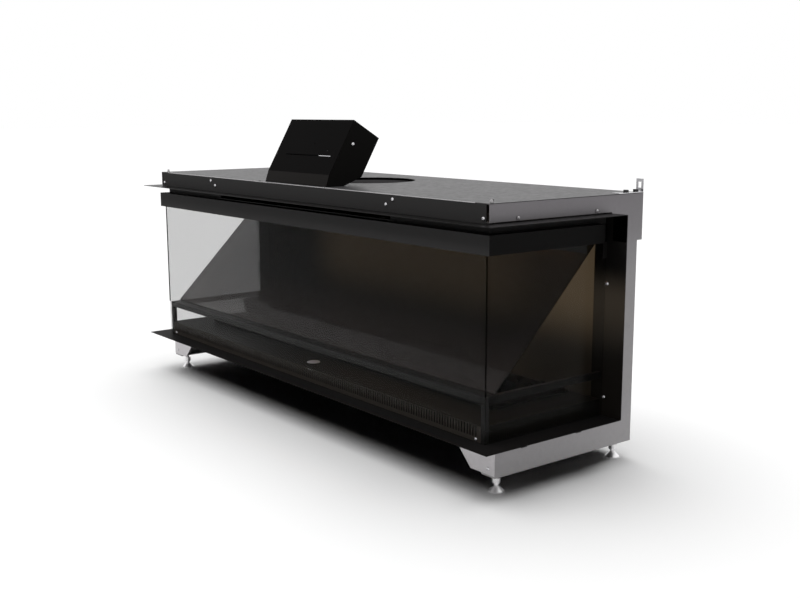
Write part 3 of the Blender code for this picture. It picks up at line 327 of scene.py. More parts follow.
def makeMetal(name, hexColor, roughness):
    # plated or plain metal: fine specks vary the roughness a little
    material, tree, output = startMaterial(name)
    place = addNode(tree, "ShaderNodeTexCoord").outputs["Object"]
    specks = addNode(tree, "ShaderNodeTexNoise", {"Scale": 400, "Detail": 3.0}, {"Vector": place})
    rough = addNode(tree, "ShaderNodeMapRange", {"To Min": roughness - 0.08, "To Max": roughness + 0.08},
                    {"Value": specks.outputs["Fac"]})
    shader = addNode(tree, "ShaderNodeBsdfPrincipled",
                     {"Metallic": 0.95, "Base Color": (*toLinear(hexColor), 1)},
                     {"Roughness": rough.outputs["Result"]})
    tree.links.new(shader.outputs["BSDF"], output.inputs["Surface"])
    return material


def makePane(name, hexColor, cover, roughness=0.02, specular=0.12):
    # float glass: light passes by the share that the surface doesn't cover, once at each face
    material, tree, output = startMaterial(name)
    shader = addNode(tree, "ShaderNodeBsdfPrincipled", {
        "Base Color": (*toLinear(hexColor), 1), "Roughness": roughness, "IOR": 1.5,
        "Specular IOR Level": specular, "Alpha": cover,
    })
    tree.links.new(shader.outputs["BSDF"], output.inputs["Surface"])
    material.surface_render_method = "BLENDED"
    return material


def makePlastic(name, hexColor, roughness):
    # moulded plastic with a fine spark-eroded grain
    material, tree, output = startMaterial(name)
    place = addNode(tree, "ShaderNodeTexCoord").outputs["Object"]
    grain = addNode(tree, "ShaderNodeTexNoise", {"Scale": 1800, "Detail": 2.0}, {"Vector": place})
    relief = addNode(tree, "ShaderNodeBump", {"Strength": 0.15, "Distance": 0.0001},
                     {"Height": grain.outputs["Fac"]})
    shader = addNode(tree, "ShaderNodeBsdfPrincipled",
                     {"Base Color": (*toLinear(hexColor), 1), "Roughness": roughness},
                     {"Normal": relief.outputs["Normal"]})
    tree.links.new(shader.outputs["BSDF"], output.inputs["Surface"])
    return material


def makeBark(name, hexDark, hexPale):
    # charred resin bark: long cracks with ash-grey ridges
    material, tree, output = startMaterial(name)
    place = addNode(tree, "ShaderNodeTexCoord").outputs["Object"]
    long = addNode(tree, "ShaderNodeMapping", {"Scale": (0.35, 1, 1)}, {"Vector": place})
    cracks = addNode(tree, "ShaderNodeTexVoronoi", {"Scale": 70, "feature": "DISTANCE_TO_EDGE"},
                     {"Vector": long.outputs["Vector"]})
    grit = addNode(tree, "ShaderNodeTexNoise", {"Scale": 160, "Detail": 6.0}, {"Vector": place})
    mix = addNode(tree, "ShaderNodeMath", {"operation": "MULTIPLY"},
                  {0: cracks.outputs["Distance"], 1: grit.outputs["Fac"]}).outputs[0]
    tone = colorRamp(tree, mix, [(0.0, hexDark), (0.12, hexDark), (0.32, hexPale)])
    relief = addNode(tree, "ShaderNodeBump", {"Strength": 0.7, "Distance": 0.004}, {"Height": mix})
    shader = addNode(tree, "ShaderNodeBsdfPrincipled", {"Roughness": 0.9, "Specular IOR Level": 0.15},
                     {"Base Color": tone, "Normal": relief.outputs["Normal"]})
    tree.links.new(shader.outputs["BSDF"], output.inputs["Surface"])
    return material


def makeGlow(name, hexColor, strength, hexBase):
    # a lit face: the diffuser over warm diodes, or the faint light in the button's cap
    material, tree, output = startMaterial(name)
    shader = addNode(tree, "ShaderNodeBsdfPrincipled", {
        "Base Color": (*toLinear(hexBase), 1), "Roughness": 0.6,
        "Emission Color": (*toLinear(hexColor), 1), "Emission Strength": strength,
    })
    tree.links.new(shader.outputs["BSDF"], output.inputs["Surface"])
    return material


frameShadeHeights = galvanisedLook["frameShadeHeights"]
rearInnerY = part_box("rear_panel")[1][1] - galvanisedLook["sheetMiddle"]
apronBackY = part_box("lower_fascia")[0][1] + coatLook["edge"] / 2
frameZinc = makeGalvanised("galvanisedFrame", galvanisedLook["frame"], frameShadeHeights)
# the rear panel's inner face is darkened to near black: painted shade
rearZinc = makeGalvanised("galvanisedRearInnerShade", galvanisedLook["frame"], frameShadeHeights, shadeBeforeY=rearInnerY)
# the recess in the top cover: painted shade, dark floor and black wall
dishShadeZinc = makeGalvanised("recessShadeZinc", galvanisedLook["recess"], galvanisedLook["recessShadeHeights"], 0.0, 0.0)
# the gussets' lighter galvanised tone: painted highlight
gussetHighlightZinc = makeGalvanised("galvanisedGussetHighlight", evenTone(galvanisedLook["gusset"]))
coverZinc = makeGalvanised("galvanisedCover", evenTone(galvanisedLook["cover"]), metallic=0.35, specular=0.1)
# the bright edge tone: a painted highlight on the cover's front edge, and the bright zinc of the tabs and band screws
edgeHighlightAndBrightZinc = makeGalvanised("paintedEdgeHighlightAndBrightZinc", evenTone(galvanisedLook["edgeHighlightAndBright"]), metallic=0.35, specular=0.3)
blackCoat = makePowderCoat("blackPowderCoat", "525151", 0.5, 0.012)
# the apron's sides and top, behind its front face, are darker: painted shade
apronCoat = makePowderCoat("apronPowderCoat", "686767", 0.5, 0.012, shadedBehind=(apronBackY, "3A3939"))
grilleCoat = makePowderCoat("grillePowderCoat", "625B55", 0.5, 0.02)
flangeCoat = makePowderCoat("flangePowderCoat", "100F0F", 0.35, 0.10)
# the side trims: black coat with painted warm light on them
trimCoat = makeCoatWithPaintedWash("trimPaintedWash", "262423", 0.32, trimWash)
sideRailCoat = makePowderCoat("sideRailCoat", "242221", 0.5, 0.06)
railCoat = makePowderCoat("railPowderCoat", "2A2928", 0.45)
hoodCoat = makePowderCoat("hoodPowderCoat", "0D0C0C", 0.55, 0.012)
# lighter copies of the hood's coat for its low band and its sides: painted light
hoodLowBandLitCoat = makePowderCoat("hoodLowBandPaintedLight", "1E1C1B", 0.55, 0.04)
hoodSideLitCoat = makePowderCoat("hoodSidePaintedLight", "1D1C1B", 0.55, 0.04)
plateCoat = makePowderCoat("platePowderCoat", "181717", 0.5, 0.02)
panPrimer = makePowderCoat("panPrimer", "141414", 0.8, 0.0)
# near black: painted shade on the strips in the outlet's gap and on the trims, and the hood plug's own black
plugAndShadeBlack = makePowderCoat("plugBlackAndPaintedShade", "050505", 0.9, 0.0)
# the back panel: black coat with the light bar's warm light painted on
backCoat = makeCoatWithPaintedWash("backPanelPaintedWash", "504A46", 0.6, barWash)
deckCoat = makeDeckFinish("deckEmbossedSteel", "22201D", "302C29")
boltZinc = makeMetal("zincPlatedSteel", "DAD9DC", 0.25)
footZinc = makeMetal("brightZincPlate", "F8F7F8", 0.30)
wheelAlloy = makeMetal("plainAluminium", "A9A9AB", 0.4)
elementAlloy = makeMetal("heatTintedFins", "A08D78", 0.4)
clearPane = makePane("clearFloatGlass", "202322", 0.152)
mirrorPane = makePane("semiReflectingGlass", "4A423F", 0.71)
lensPane = makePane("coatedLens", "0A0A10", 0.9)
edgeInk = makePane("groundGlassEdge", "030303", 0.96, 0.5, 0.0)
darkPlastic = makePlastic("moldedPlastic", "1B1B1C", 0.55)
screenPlastic = makePlastic("frostedAcrylic", "3A3A3A", 0.7)
emberResin = makeBark("emberResin", "120E0C", "3A2E27")
charredBark = makeBark("charredBark", "0D0B0A", "4A4541")
warmGlow = makeGlow("warmDiffuser", "FFB070", 4, "D8C8B0")
buttonCap = makeGlow("litButtonCap", "F4F3F4", 0.075, "F2F1F2")

nodeFinish = {
    gussetHighlightZinc: ("base_gusset_left", "base_gusset_right"),
    panPrimer: ("floor_pan",),
    frameZinc: ("side_frame_left", "side_frame_right", "rear_top_panel", "projector_cradle", "blower_housing"),
    rearZinc: ("rear_panel",),
    coverZinc: ("top_cover",),
    dishShadeZinc: ("vent_dish",),
    blackCoat: ("top_fascia", "outlet_neck"),
    apronCoat: ("lower_fascia",),
    flangeCoat: ("top_trim", "rear_light_bar"),
    grilleCoat: ("air_grille",),
    plateCoat: ("bottom_plate",),
    trimCoat: ("side_trim_left", "side_trim_right"),
    railCoat: ("corner_post_left", "corner_post_right", "front_rail", "mirror_ledge", "mirror_top_holder"),
    sideRailCoat: ("side_rail_left", "side_rail_right"),
    hoodCoat: ("projector_housing", "ceiling_panel"),
    backCoat: ("back_panel",),
    deckCoat: ("deck",),
    boltZinc: ("wall_bracket_left", "wall_bracket_right"),
    footZinc: tuple(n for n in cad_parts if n.startswith("foot_")),
    buttonCap: ("button_bezel", "push_button"),
    wheelAlloy: ("blower_rotor",),
    elementAlloy: ("heating_element",),
    clearPane: ("front_glass", "side_glass_left", "side_glass_right"),
    mirrorPane: ("mirror_glass",),
    lensPane: ("projector_lens",),
    darkPlastic: ("projector", "blower_motor", "control_box", "mains_inlet"),
    screenPlastic: ("projection_screen",),
    emberResin: ("ember_bed",),
    charredBark: ("log_1", "log_2", "log_3", "log_4"),
}
for finish, names in nodeFinish.items():
    for name in names:
        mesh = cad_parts[name].data
        mesh.materials.clear()
        mesh.materials.append(finish)
print("finishes set")


# Camera, lamp, world and floor

cameraView = {
    "place": (2.7777, -1.9956, 0.9704), "yaw": 52.13, "down": 10.08, "roll": -0.18,
    "focalPixels": 1056.9, "imageWidth": 800, "sensorWidth": 36,
}


def addCamera():
    view = cameraView
    yaw, down, roll = (math.radians(view[k]) for k in ("yaw", "down", "roll"))
    ahead = Vector((-math.sin(yaw) * math.cos(down), math.cos(yaw) * math.cos(down), -math.sin(down)))
    right = Vector((math.cos(yaw), math.sin(yaw), 0))
    up = right.cross(ahead)
    turnedRight = right * math.cos(roll) + up * math.sin(roll)
    turnedUp = up * math.cos(roll) - right * math.sin(roll)
    data = bpy.data.cameras.new("studioCamera")
    data.sensor_width = view["sensorWidth"]
    data.lens = view["focalPixels"] * view["sensorWidth"] / view["imageWidth"]
    camera = bpy.data.objects.new("studioCamera", data)
    turn = Matrix((turnedRight, turnedUp, -ahead)).transposed().to_4x4()
    camera.matrix_world = Matrix.Translation(view["place"]) @ turn
    bpy.context.scene.collection.objects.link(camera)
    bpy.context.scene.camera = camera


topLamp = {"turn": (0, -14, 0), "spread": 84, "strength": 3.6}


def addLamp():
    # one broad sun overhead lights the floor alike at every distance, so no horizon shows
    data = bpy.data.lights.new("topLamp", "SUN")
    data.energy = topLamp["strength"]
    data.angle = math.radians(topLamp["spread"])
    light = bpy.data.objects.new("topLamp", data)
    light.rotation_euler = [math.radians(v) for v in topLamp["turn"]]
    light.visible_glossy = False
    bpy.context.scene.collection.objects.link(light)


worldStrength = {"onSurfaces": 0.005, "seen": 1.0}


def addWorld():
    # a trace of even light for the object, plain white where the camera, gloss and glass look past it
    world = bpy.data.worlds.new("studioWorld")
    bpy.context.scene.world = world
    world.use_nodes = True
    tree = world.node_tree
    tree.nodes.clear()
    rays = addNode(tree, "ShaderNodeLightPath")
    seen = rays.outputs["Is Camera Ray"]
    for kind in ("Is Glossy Ray", "Is Transmission Ray"):
        seen = addNode(tree, "ShaderNodeMath", {"operation": "MAXIMUM"}, {0: seen, 1: rays.outputs[kind]}).outputs[0]
    strength = addNode(tree, "ShaderNodeMapRange",
                       {"To Min": worldStrength["onSurfaces"], "To Max": worldStrength["seen"]}, {"Value": seen})
    back = addNode(tree, "ShaderNodeBackground", {"Color": (1, 1, 1, 1)}, {"Strength": strength.outputs["Result"]})
    addNode(tree, "ShaderNodeOutputWorld", links={"Surface": back.outputs[0]})


floorLook = {"half": 60.0, "seen": 0.97, "bounced": 0.22}


def addFloor():
    # pale where the camera, gloss and glass look at it, greyer for the light that it throws back
    half = floorLook["half"]
    mesh = bpy.data.meshes.new("studioFloor")
    mesh.from_pydata([(-half, -half, 0), (half, -half, 0), (half, half, 0), (-half, half, 0)], [], [(0, 1, 2, 3)])
    floor = bpy.data.objects.new("studioFloor", mesh)
    bpy.context.scene.collection.objects.link(floor)
    material, tree, output = startMaterial("paleFloor")
    rays = addNode(tree, "ShaderNodeLightPath")
    bounce = addNode(tree, "ShaderNodeMapRange", {"To Min": floorLook["seen"], "To Max": floorLook["bounced"]},
                     {"Value": rays.outputs["Is Diffuse Ray"]})
    tone = addNode(tree, "ShaderNodeCombineColor",
                   links={c: bounce.outputs["Result"] for c in ("Red", "Green", "Blue")})
    shader = addNode(tree, "ShaderNodeBsdfDiffuse", links={"Color": tone.outputs["Color"]})
    tree.links.new(shader.outputs["BSDF"], output.inputs["Surface"])
    mesh.materials.append(material)


addCamera()
addLamp()
addWorld()
addFloor()
bpy.context.scene.view_settings.view_transform = "Standard"
print("camera, lamp, world and floor set")


# Dome screws, seated on the sheets' faces

sheetPlaces = {
    "fasciaY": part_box("top_fascia")[0][1], "trimY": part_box("side_trim_right")[0][1],
    "gussetY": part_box("base_gusset_right")[0][1], "grilleY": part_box("air_grille")[0][1],
    "hoodX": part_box("projector_housing")[1][0], "hoodY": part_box("projector_housing")[0][1],
}
screwSize = {"radius": 0.0052, "height": 0.0024, "recess": 0.0022, "floorWidth": 0.85, "floorHeight": 0.35,
             "rings": 7, "steps": 24}
screwPlaces = {
    "top": 0.750, "fascia": ((0.878, 0.038), (0.515, 0.0135), (0.485, 0.029)),
    "trimX": {1: 0.8915, -1: 0.8600}, "trimDrops": (0.241, 0.558),
    "gusset": (0.8765, 0.070), "grille": (0.848, 0.1448), "hoodBack": 0.099, "hoodZ": 0.874,
    "returnX": 0.872, "returnSetback": 0.020, "returnZ": (0.090, 0.215, 0.340, 0.465, 0.590),
    "boxReturnZ": (0.655, 0.715), "rearX": (-0.80, -0.40, 0.0, 0.40, 0.80), "rearZ": (0.068, 0.600),
    "rearTopZ": 0.634,
}


def domeScrew():
    # a low dome with a round drive recess in the middle
    s = screwSize
    r, h, a = s["radius"], s["height"], s["recess"]
    t = np.linspace(0, math.pi / 2, s["rings"])
    dome = np.stack([a + (r - a) * np.cos(t), h * np.sin(t)], axis=1)
    floor = [[a * s["floorWidth"], h * s["floorHeight"]], [0, h * s["floorHeight"]]]
    return turnedSurface(np.concatenate([[[0, 0], [r, 0]], dome[1:], floor]), s["steps"])


def addScrews():
    p, sheet = screwPlaces, sheetPlaces
    seats = []
    for side in (1, -1):
        seats += [((side * x, sheet["fasciaY"], p["top"] - drop), (0, -1, 0)) for x, drop in p["fascia"]]
        seats += [((side * p["trimX"][side], sheet["trimY"], p["top"] - drop), (0, -1, 0)) for drop in p["trimDrops"]]
        seats += [((side * x, y, z), (0, -1, 0))
                  for (x, z), y in ((p["gusset"], sheet["gussetY"]), (p["grille"], sheet["grilleY"]))]
        seats.append(((side * sheet["hoodX"], sheet["hoodY"] + p["hoodBack"], p["hoodZ"]), (side, 0, 0)))
    points, faces = joinShapes(placed(domeScrew(), *seat) for seat in seats)
    makePiece("sheetScrews", points, faces, boltZinc, slot="zinc_plate")
    # the rear: down the frames' returns, and along the rear sheets' edges
    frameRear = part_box("side_frame_right")[1][1]
    rear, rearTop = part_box("rear_panel")[1][1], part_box("rear_top_panel")[1][1]
    places = [(side * p["returnX"], frameRear - p["returnSetback"], z) for side in (1, -1) for z in p["returnZ"]]
    places += [(side * p["returnX"], frameRear, z) for side in (1, -1) for z in p["boxReturnZ"]]
    places += [(x, rear, z) for x in p["rearX"] for z in p["rearZ"]]
    places += [(x, rearTop, p["rearTopZ"]) for x in p["rearX"]]
    points, faces = joinShapes(placed(domeScrew(), place, (0, 1, 0)) for place in places)
    makePiece("rearScrews", points, faces, boltZinc, slot="zinc_plate")


addScrews()
print("screws added")


# Diffuser under the rear light bar

ledSize = {"from": -0.45, "to": 0.78, "width": 0.012, "thick": 0.0012, "frontSetback": 0.012, "gap": 0.0002}


def addLedStrip():
    s = ledSize
    low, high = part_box("rear_light_bar")
    frontY, top = low[1] + s["frontSetback"], low[2] - s["gap"]
    strip = boxStrip((s["from"], s["to"]), (frontY, frontY + s["width"]), (top - s["thick"], top))
    makePiece("ledDiffuser", *strip, warmGlow, slot="frosted_screen", smooth=False)


addLedStrip()
print("led strip added")


# Thin strips: the outlet's bar, a black strip of painted shade in the outlet's gap, and the mirror's ground end edges

stripSize = {
    "barHalf": 0.492, "barZ": (0.6748, 0.6772), "barThick": 0.0010,
    "shadeHalf": 0.478, "shadeBack": (0.0050, 0.0165), "shadeThick": 0.0006,
    "mirrorCut": 0.0028, "edgeThick": 0.0005,
}


def addStrips():
    s = stripSize
    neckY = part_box("outlet_neck")[0][1]
    bar = boxStrip((-s["barHalf"], s["barHalf"]), (neckY - s["barThick"], neckY), s["barZ"])
    makePiece("outletBar", *bar, railCoat, slot="black_coat", smooth=False)
    # a near-black strip on the apron's top in the outlet's gap: painted shade
    frontY, topZ = sheetPlaces["fasciaY"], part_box("lower_fascia")[1][2]
    shadeStrip = boxStrip((-s["shadeHalf"], s["shadeHalf"]), [frontY + v for v in s["shadeBack"]],
                    (topZ, topZ + s["shadeThick"]))
    makePiece("outletPaintedShade", *shadeStrip, plugAndShadeBlack, slot="dark_plastic", smooth=False)
    low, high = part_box("mirror_glass")
    cut = s["mirrorCut"]
    corners = [(low[1], low[2] + cut), (low[1] + cut, low[2]), (high[1], high[2] - cut), (high[1] - cut, high[2])]
    ends = [prismStrip(sorted((side * high[0], side * (high[0] + s["edgeThick"]))), corners) for side in (1, -1)]
    makePiece("mirrorEndEdges", *joinShapes(ends), edgeInk, slot="mirror_glass", smooth=False)


addStrips()
print("strips added")


# Marks, tabs and clips on the sheets

tabSize = {
    "coverTabs": (-0.194, 0.174), "coverInset": 0.0055, "coverRise": 0.0033, "tabRadius": 0.0045, "tabHeight": 0.0026,
    "frameX": 0.900, "markHeights": (0.565, 0.380, 0.196), "markBack": 0.5258,
    "markRadius": 0.0075, "markRim": 0.0011, "markProud": 0.00035, "markSteps": 32,
    "clipBacks": (0.1295, 0.3349), "clipZ": 0.1125, "clipLength": 0.020, "clipHeight": 0.0035, "clipProud": 0.0022,
}


def lowRing(radius, rim, height, steps):
    # a ring with a rounded crown: the section r = radius + rim cos t, h = height sin t, closed and carried round
    t = np.linspace(0, math.pi, 7)
    section = np.stack([radius + rim * np.cos(t), height * np.sin(t)], axis=1)
    angle = np.linspace(0, math.tau, steps, endpoint=False)
    points = np.stack([section[:, None, 0] * np.cos(angle), section[:, None, 0] * np.sin(angle),
                       np.broadcast_to(section[:, None, 1], (len(t), steps))], axis=2).reshape(-1, 3)
    i = np.arange(len(t))[:, None] * steps
    k = (np.arange(len(t))[:, None] + 1) % len(t) * steps
    j = np.arange(steps)[None]
    m = (j + 1) % steps
    return points, np.stack([i + j, i + m, k + m, k + j], axis=2).reshape(-1, 4).tolist()


def lowDome(radius, height):
    # a shallow cap: r = radius cos t, h = height sin t
    t = np.linspace(0, math.pi / 2, 6)
    profile = np.concatenate([[[0, 0]], np.stack([radius * np.cos(t), height * np.sin(t)], axis=1)])
    return turnedSurface(profile, 20)


def addTabs():
    s = tabSize
    frontY, frameX = sheetPlaces["fasciaY"], s["frameX"]
    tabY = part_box("top_cover")[0][1] + s["coverInset"]
    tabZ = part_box("rear_top_panel")[1][2] + s["coverRise"]
    tabs = [placed(lowDome(s["tabRadius"], s["tabHeight"]), (x, tabY, tabZ), (0, 0, 1)) for x in s["coverTabs"]]
    makePiece("coverTabs", *joinShapes(tabs), coverZinc, slot="galvanised")
    ring = lowRing(s["markRadius"], s["markRim"], s["markProud"], s["markSteps"])
    marks = [placed(ring, (side * frameX, frontY + s["markBack"], z), (side, 0, 0))
             for side in (1, -1) for z in s["markHeights"]]
    makePiece("columnMarks", *joinShapes(marks), frameZinc, slot="galvanised")
    half = s["clipLength"] / 2
    clips = [boxStrip(sorted((side * frameX, side * (frameX + s["clipProud"]))),
                      (frontY + back - half, frontY + back + half), (s["clipZ"], s["clipZ"] + s["clipHeight"]))
             for side in (1, -1) for back in s["clipBacks"]]
    makePiece("baseClips", *joinShapes(clips), coverZinc, slot="galvanised", smooth=False)


addTabs()
print("tabs and marks added")


# Hood: painted light at one end of its slit, two small rivets, and painted light on the low band along its foot and on
# its sides

hoodDetail = {
    "frontShares": ((0.060, 0.180), (0.530, 1.000)),
    "slitShare": 0.33, "litFrom": 0.074, "litTo": 0.136, "litHeight": 0.0018, "litDepth": 0.0014, "litProud": 0.0002,
    "rivets": ((0.108, 0.424, 0.0017), (0.023, 0.546, 0.0020)), "rivetHeight": 0.0010,
    "lowBandHalf": 0.1731, "lightSheetThick": 0.0003, "lowBandFoot": 0.001, "lowBandTop": 0.0004,
    "sideOutlineShares": ((0.000, 0.000), (0.060, 0.180), (0.530, 1.000), (1.000, 0.715), (0.660, 0.127), (0.330, 0.000)),
    "sideSheetInset": 0.0022,
}


def addHoodDetail():
    s = hoodDetail
    low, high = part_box("projector_housing")
    size = high - low
    one, two = (np.array([low[1] + a * size[1], low[2] + b * size[2]]) for a, b in s["frontShares"])
    along = (two - one) / np.linalg.norm(two - one)
    outward = np.array([-along[1], along[0]])
    # a bright zinc strip in one end of the slit: painted light, for light showing through it
    middle = one + (two - one) * s["slitShare"]
    rise = along * s["litHeight"] / 2
    inner, outer = outward * -s["litDepth"], outward * s["litProud"]
    outline = [middle - rise + inner, middle - rise + outer, middle + rise + outer, middle + rise + inner]
    slit = prismStrip((s["litFrom"], s["litTo"]), outline)
    makePiece("hoodSlitPaintedLight", *slit, boltZinc, slot="zinc_plate", smooth=False)
    bright, dark = [placed(lowDome(radius, s["rivetHeight"]), (x, *(one + (two - one) * share)), (0, *outward))
                    for x, share, radius in s["rivets"]]
    makePiece("hoodRivet", *bright, coverZinc, slot="zinc_plate")
    makePiece("hoodPlug", *dark, plugAndShadeBlack, slot="dark_plastic")
    # a thin lighter strip along the foot of the hood's front: painted light on its low band
    foot = np.array([low[1], low[2]])
    slope = (one - foot) / np.linalg.norm(one - foot)
    lift = np.array([-slope[1], slope[0]]) * s["lightSheetThick"]
    lowBandFoot, lowBandTop = foot + slope * s["lowBandFoot"], one - slope * s["lowBandTop"]
    lightStrip = prismStrip((-s["lowBandHalf"], s["lowBandHalf"]), [lowBandFoot, lowBandTop, lowBandTop + lift, lowBandFoot + lift])
    makePiece("hoodLowBandLightStrip", *lightStrip, hoodLowBandLitCoat, slot="black_coat", smooth=False)
    # thin lighter sheets on the hood's sides: painted light, drawn in from the hood's outline so that its folded edge
    # shows
    corners = np.array([[low[1] + a * size[1], low[2] + b * size[2]] for a, b in s["sideOutlineShares"]])
    middle = corners.mean(axis=0)
    inset = middle + (corners - middle) * (1 - s["sideSheetInset"] / np.linalg.norm(corners - middle, axis=1))[:, None]
    sideSheets = [prismStrip(sorted((side * high[0], side * (high[0] + s["lightSheetThick"]))), inset) for side in (1, -1)]
    makePiece("hoodSideLightSheets", *joinShapes(sideSheets), hoodSideLitCoat, slot="black_coat", smooth=False)


addHoodDetail()
print("hood details added")


# Bright edges with a painted highlight, black pads of painted shade on the trims, and screws at the top and the sides

edgeSize = {
    "hemHalf": 0.8475, "hemZ": (0.7484, 0.7502), "hemProud": 0.0002,
    "lugX": 0.885, "lugHalf": 0.0068, "lugBack": 0.0188, "lugTop": 0.7593, "lugLow": 0.7506, "lugThick": 0.0009,
    "glassFrom": 0.2625, "glassTo": 0.6226, "glassProud": 0.0010,
    "shadeX": (0.9075, 0.9540), "shadeZ": (0.6270, 0.6950), "shadeProud": 0.0006,
    "holderX": (0.8868, 0.8885), "holderBack": (0.4260, 0.4410), "holderZ": (0.5780, 0.6225),
    "bandScrews": (0.096, 0.384), "bandZ": 0.7100, "bandX": 0.9016, "bandRadius": 0.0042, "bandHeight": 0.0020,
}


def roundedTab(x, half, low, high, ys):
    # an upright tab with a half round top: the (x, z) outline carried through its thickness
    t = np.linspace(0, math.pi, 9)
    crown = np.stack([x + half * np.cos(t), high - half + half * np.sin(t)], axis=1)
    outline = np.concatenate([[[x - half, low], [x + half, low]], crown])
    n = len(outline)
    points = np.concatenate([np.column_stack([outline[:, 0], np.full(n, y), outline[:, 1]]) for y in ys])
    faces = [[(i + 1) % n, i, n + i, n + (i + 1) % n] for i in range(n)]
    return points, faces + [list(range(n)), list(range(n, 2 * n))[::-1]]


def addEdges():
    s = edgeSize
    front, trimY = sheetPlaces["fasciaY"], sheetPlaces["trimY"]
    # a bright strip along the cover's front edge: painted highlight
    hem = boxStrip((-s["hemHalf"], s["hemHalf"]), (front - s["hemProud"], front), s["hemZ"])
    makePiece("coverEdgeHighlight", *hem, edgeHighlightAndBrightZinc, slot="galvanised", smooth=False)
    lugYs = (front + s["lugBack"], front + s["lugBack"] + s["lugThick"])
    lugs = [roundedTab(side * s["lugX"], s["lugHalf"], s["lugLow"], s["lugTop"], lugYs) for side in (1, -1)]
    makePiece("lugFaces", *joinShapes(lugs), edgeHighlightAndBrightZinc, slot="galvanised")
    low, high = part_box("front_glass")
    ends = [boxStrip(sorted((side * high[0], side * (high[0] + s["glassProud"]))), (low[1], high[1]),
                     (s["glassFrom"], s["glassTo"])) for side in (1, -1)]
    makePiece("glassEndEdges", *joinShapes(ends), edgeInk, slot="clear_glass", smooth=False)
    # near-black pads on the trims' fronts beside the apron's ends: painted shade
    shadeStrips = [boxStrip(sorted(side * v for v in s["shadeX"]), (trimY - s["shadeProud"], trimY), s["shadeZ"])
             for side in (1, -1)]
    makePiece("trimPaintedShade", *joinShapes(shadeStrips), plugAndShadeBlack, slot="dark_plastic", smooth=False)
    holders = [boxStrip(sorted(side * v for v in s["holderX"]), [front + v for v in s["holderBack"]], s["holderZ"])
               for side in (1, -1)]
    makePiece("glassHolders", *joinShapes(holders), railCoat, slot="black_coat", smooth=False)
    head = lowDome(s["bandRadius"], s["bandHeight"])
    screws = [placed(head, (side * s["bandX"], front + back, s["bandZ"]), (side, 0, 0))
              for side in (1, -1) for back in s["bandScrews"]]
    makePiece("bandScrews", *joinShapes(screws), edgeHighlightAndBrightZinc, slot="zinc_plate")


addEdges()
print("edges and seals added")


# Threads on the four foot stems

threadSize = {
    "crest": 0.00535, "depth": 0.0006, "pitch": 0.00175, "low": 0.0382, "high": 0.0740,
    "levels": 164, "steps": 32, "x": 0.870, "ys": {"front": -0.1985, "rear": 0.2515},
}


def threadSurface():
    # r = crest - depth x distance from the ridge, which climbs one pitch in each turn;
    # both ends close on the axis
    s = threadSize
    levels, steps = s["levels"], s["steps"]
    z = np.linspace(s["low"], s["high"], levels)
    angle = np.linspace(0, math.tau, steps, endpoint=False)
    phase = (z[:, None] / s["pitch"] - angle[None] / math.tau) % 1
    radius = s["crest"] - s["depth"] * np.abs(2 * phase - 1)
    body = np.stack([radius * np.cos(angle), radius * np.sin(angle),
                     np.broadcast_to(z[:, None], radius.shape)], axis=2).reshape(-1, 3)
    points = np.concatenate([[[0, 0, s["low"]]], body, [[0, 0, s["high"]]]])
    i = np.arange(levels - 1)[:, None] * steps + 1
    j = np.arange(steps)[None]
    k = (j + 1) % steps
    quads = np.stack([i + j, i + k, i + steps + k, i + steps + j], axis=2).reshape(-1, 4).tolist()
    base = 1 + (levels - 1) * steps
    first = [[0, 1 + int(b), 1 + int(a)] for a, b in zip(j[0], k[0])]
    last = [[len(points) - 1, base + int(a), base + int(b)] for a, b in zip(j[0], k[0])]
    return points, quads + first + last


def addThreads():
    s = threadSize
    points, faces = threadSurface()
    for end, y in s["ys"].items():
        for label, side in (("right", 1), ("left", -1)):
            makePiece(f"stemThread_{end}_{label}", points + np.array([side * s["x"], y, 0]), faces, footZinc,
                      body=f"{end}_{label}_stem", slot="zinc_plate")


addThreads()
print("threads added")


# Charred logs: the same branches as the solids, with furrows, cuts across the bark and stubs

logSize = {
    "length": 0.400, "radius": 0.034, "bedHalf": 0.780, "bedFront": 0.130, "bedDepth": 0.290, "restZ": 0.1985,
    "along": 176, "around": 120, "spans": 11, "bend": 0.35,
    "capRings": (0.25, 0.5, 0.75), "capDish": 0.004, "capRipple": 0.0012, "capPole": 0.0045,
    "layout": ((-0.70, 0.60, 0.16, 1.00, 1.00), (-0.17, 0.35, -0.14, 0.95, 0.90),
               (0.33, 0.62, 0.20, 0.85, 1.05), (0.79, 0.42, -0.30, 0.72, 0.85)),
    "stubs": ((0.30, 1.1, 0.30), (0.68, 2.2, 0.26)),
}


def logCentreLine(share, radius, seed):
    # the branch's middle bends to one side: b = 0.35 r sin(3.2 s + seed)
    return logSize["bend"] * radius * np.sin(3.2 * share + seed)


def logReach(share, angle, radius, seed):
    # r = radius x taper x lumps x bark. The lumps are set at the ends of the spans and eased between them;
    # the bark's furrows run along the log, wander a little, and are cut across here and there
    taper = 1 - 0.28 * share + 0.10 * np.sin(5 * share + seed)
    step = share * logSize["spans"]
    span = np.clip(np.floor(step), 0, logSize["spans"] - 1)
    ease = (step - span) ** 2 * (3 - 2 * (step - span))
    lumps = [1 + 0.10 * np.sin(3 * angle + 2.1 * i + seed) + 0.06 * np.cos(5 * angle - 1.3 * i)
             for i in (span, span + 1)]
    ridge = np.abs(np.sin(8 * angle + 1.6 * np.sin(9 * share + seed) + 0.8 * np.sin(31 * share + 2 * angle)))
    furrow = 0.085 * (1 - ridge ** 0.45)
    cut = 0.055 * np.exp(-(np.sin(26 * share + 1.4 * np.sin(3 * angle + seed)) / 0.10) ** 2)
    grain = 0.012 * np.sin(41 * angle + 57 * share) * np.sin(23 * angle - 190 * share)
    return radius * taper * ((1 - ease) * lumps[0] + ease * lumps[1]) * (1 - furrow - cut + grain)


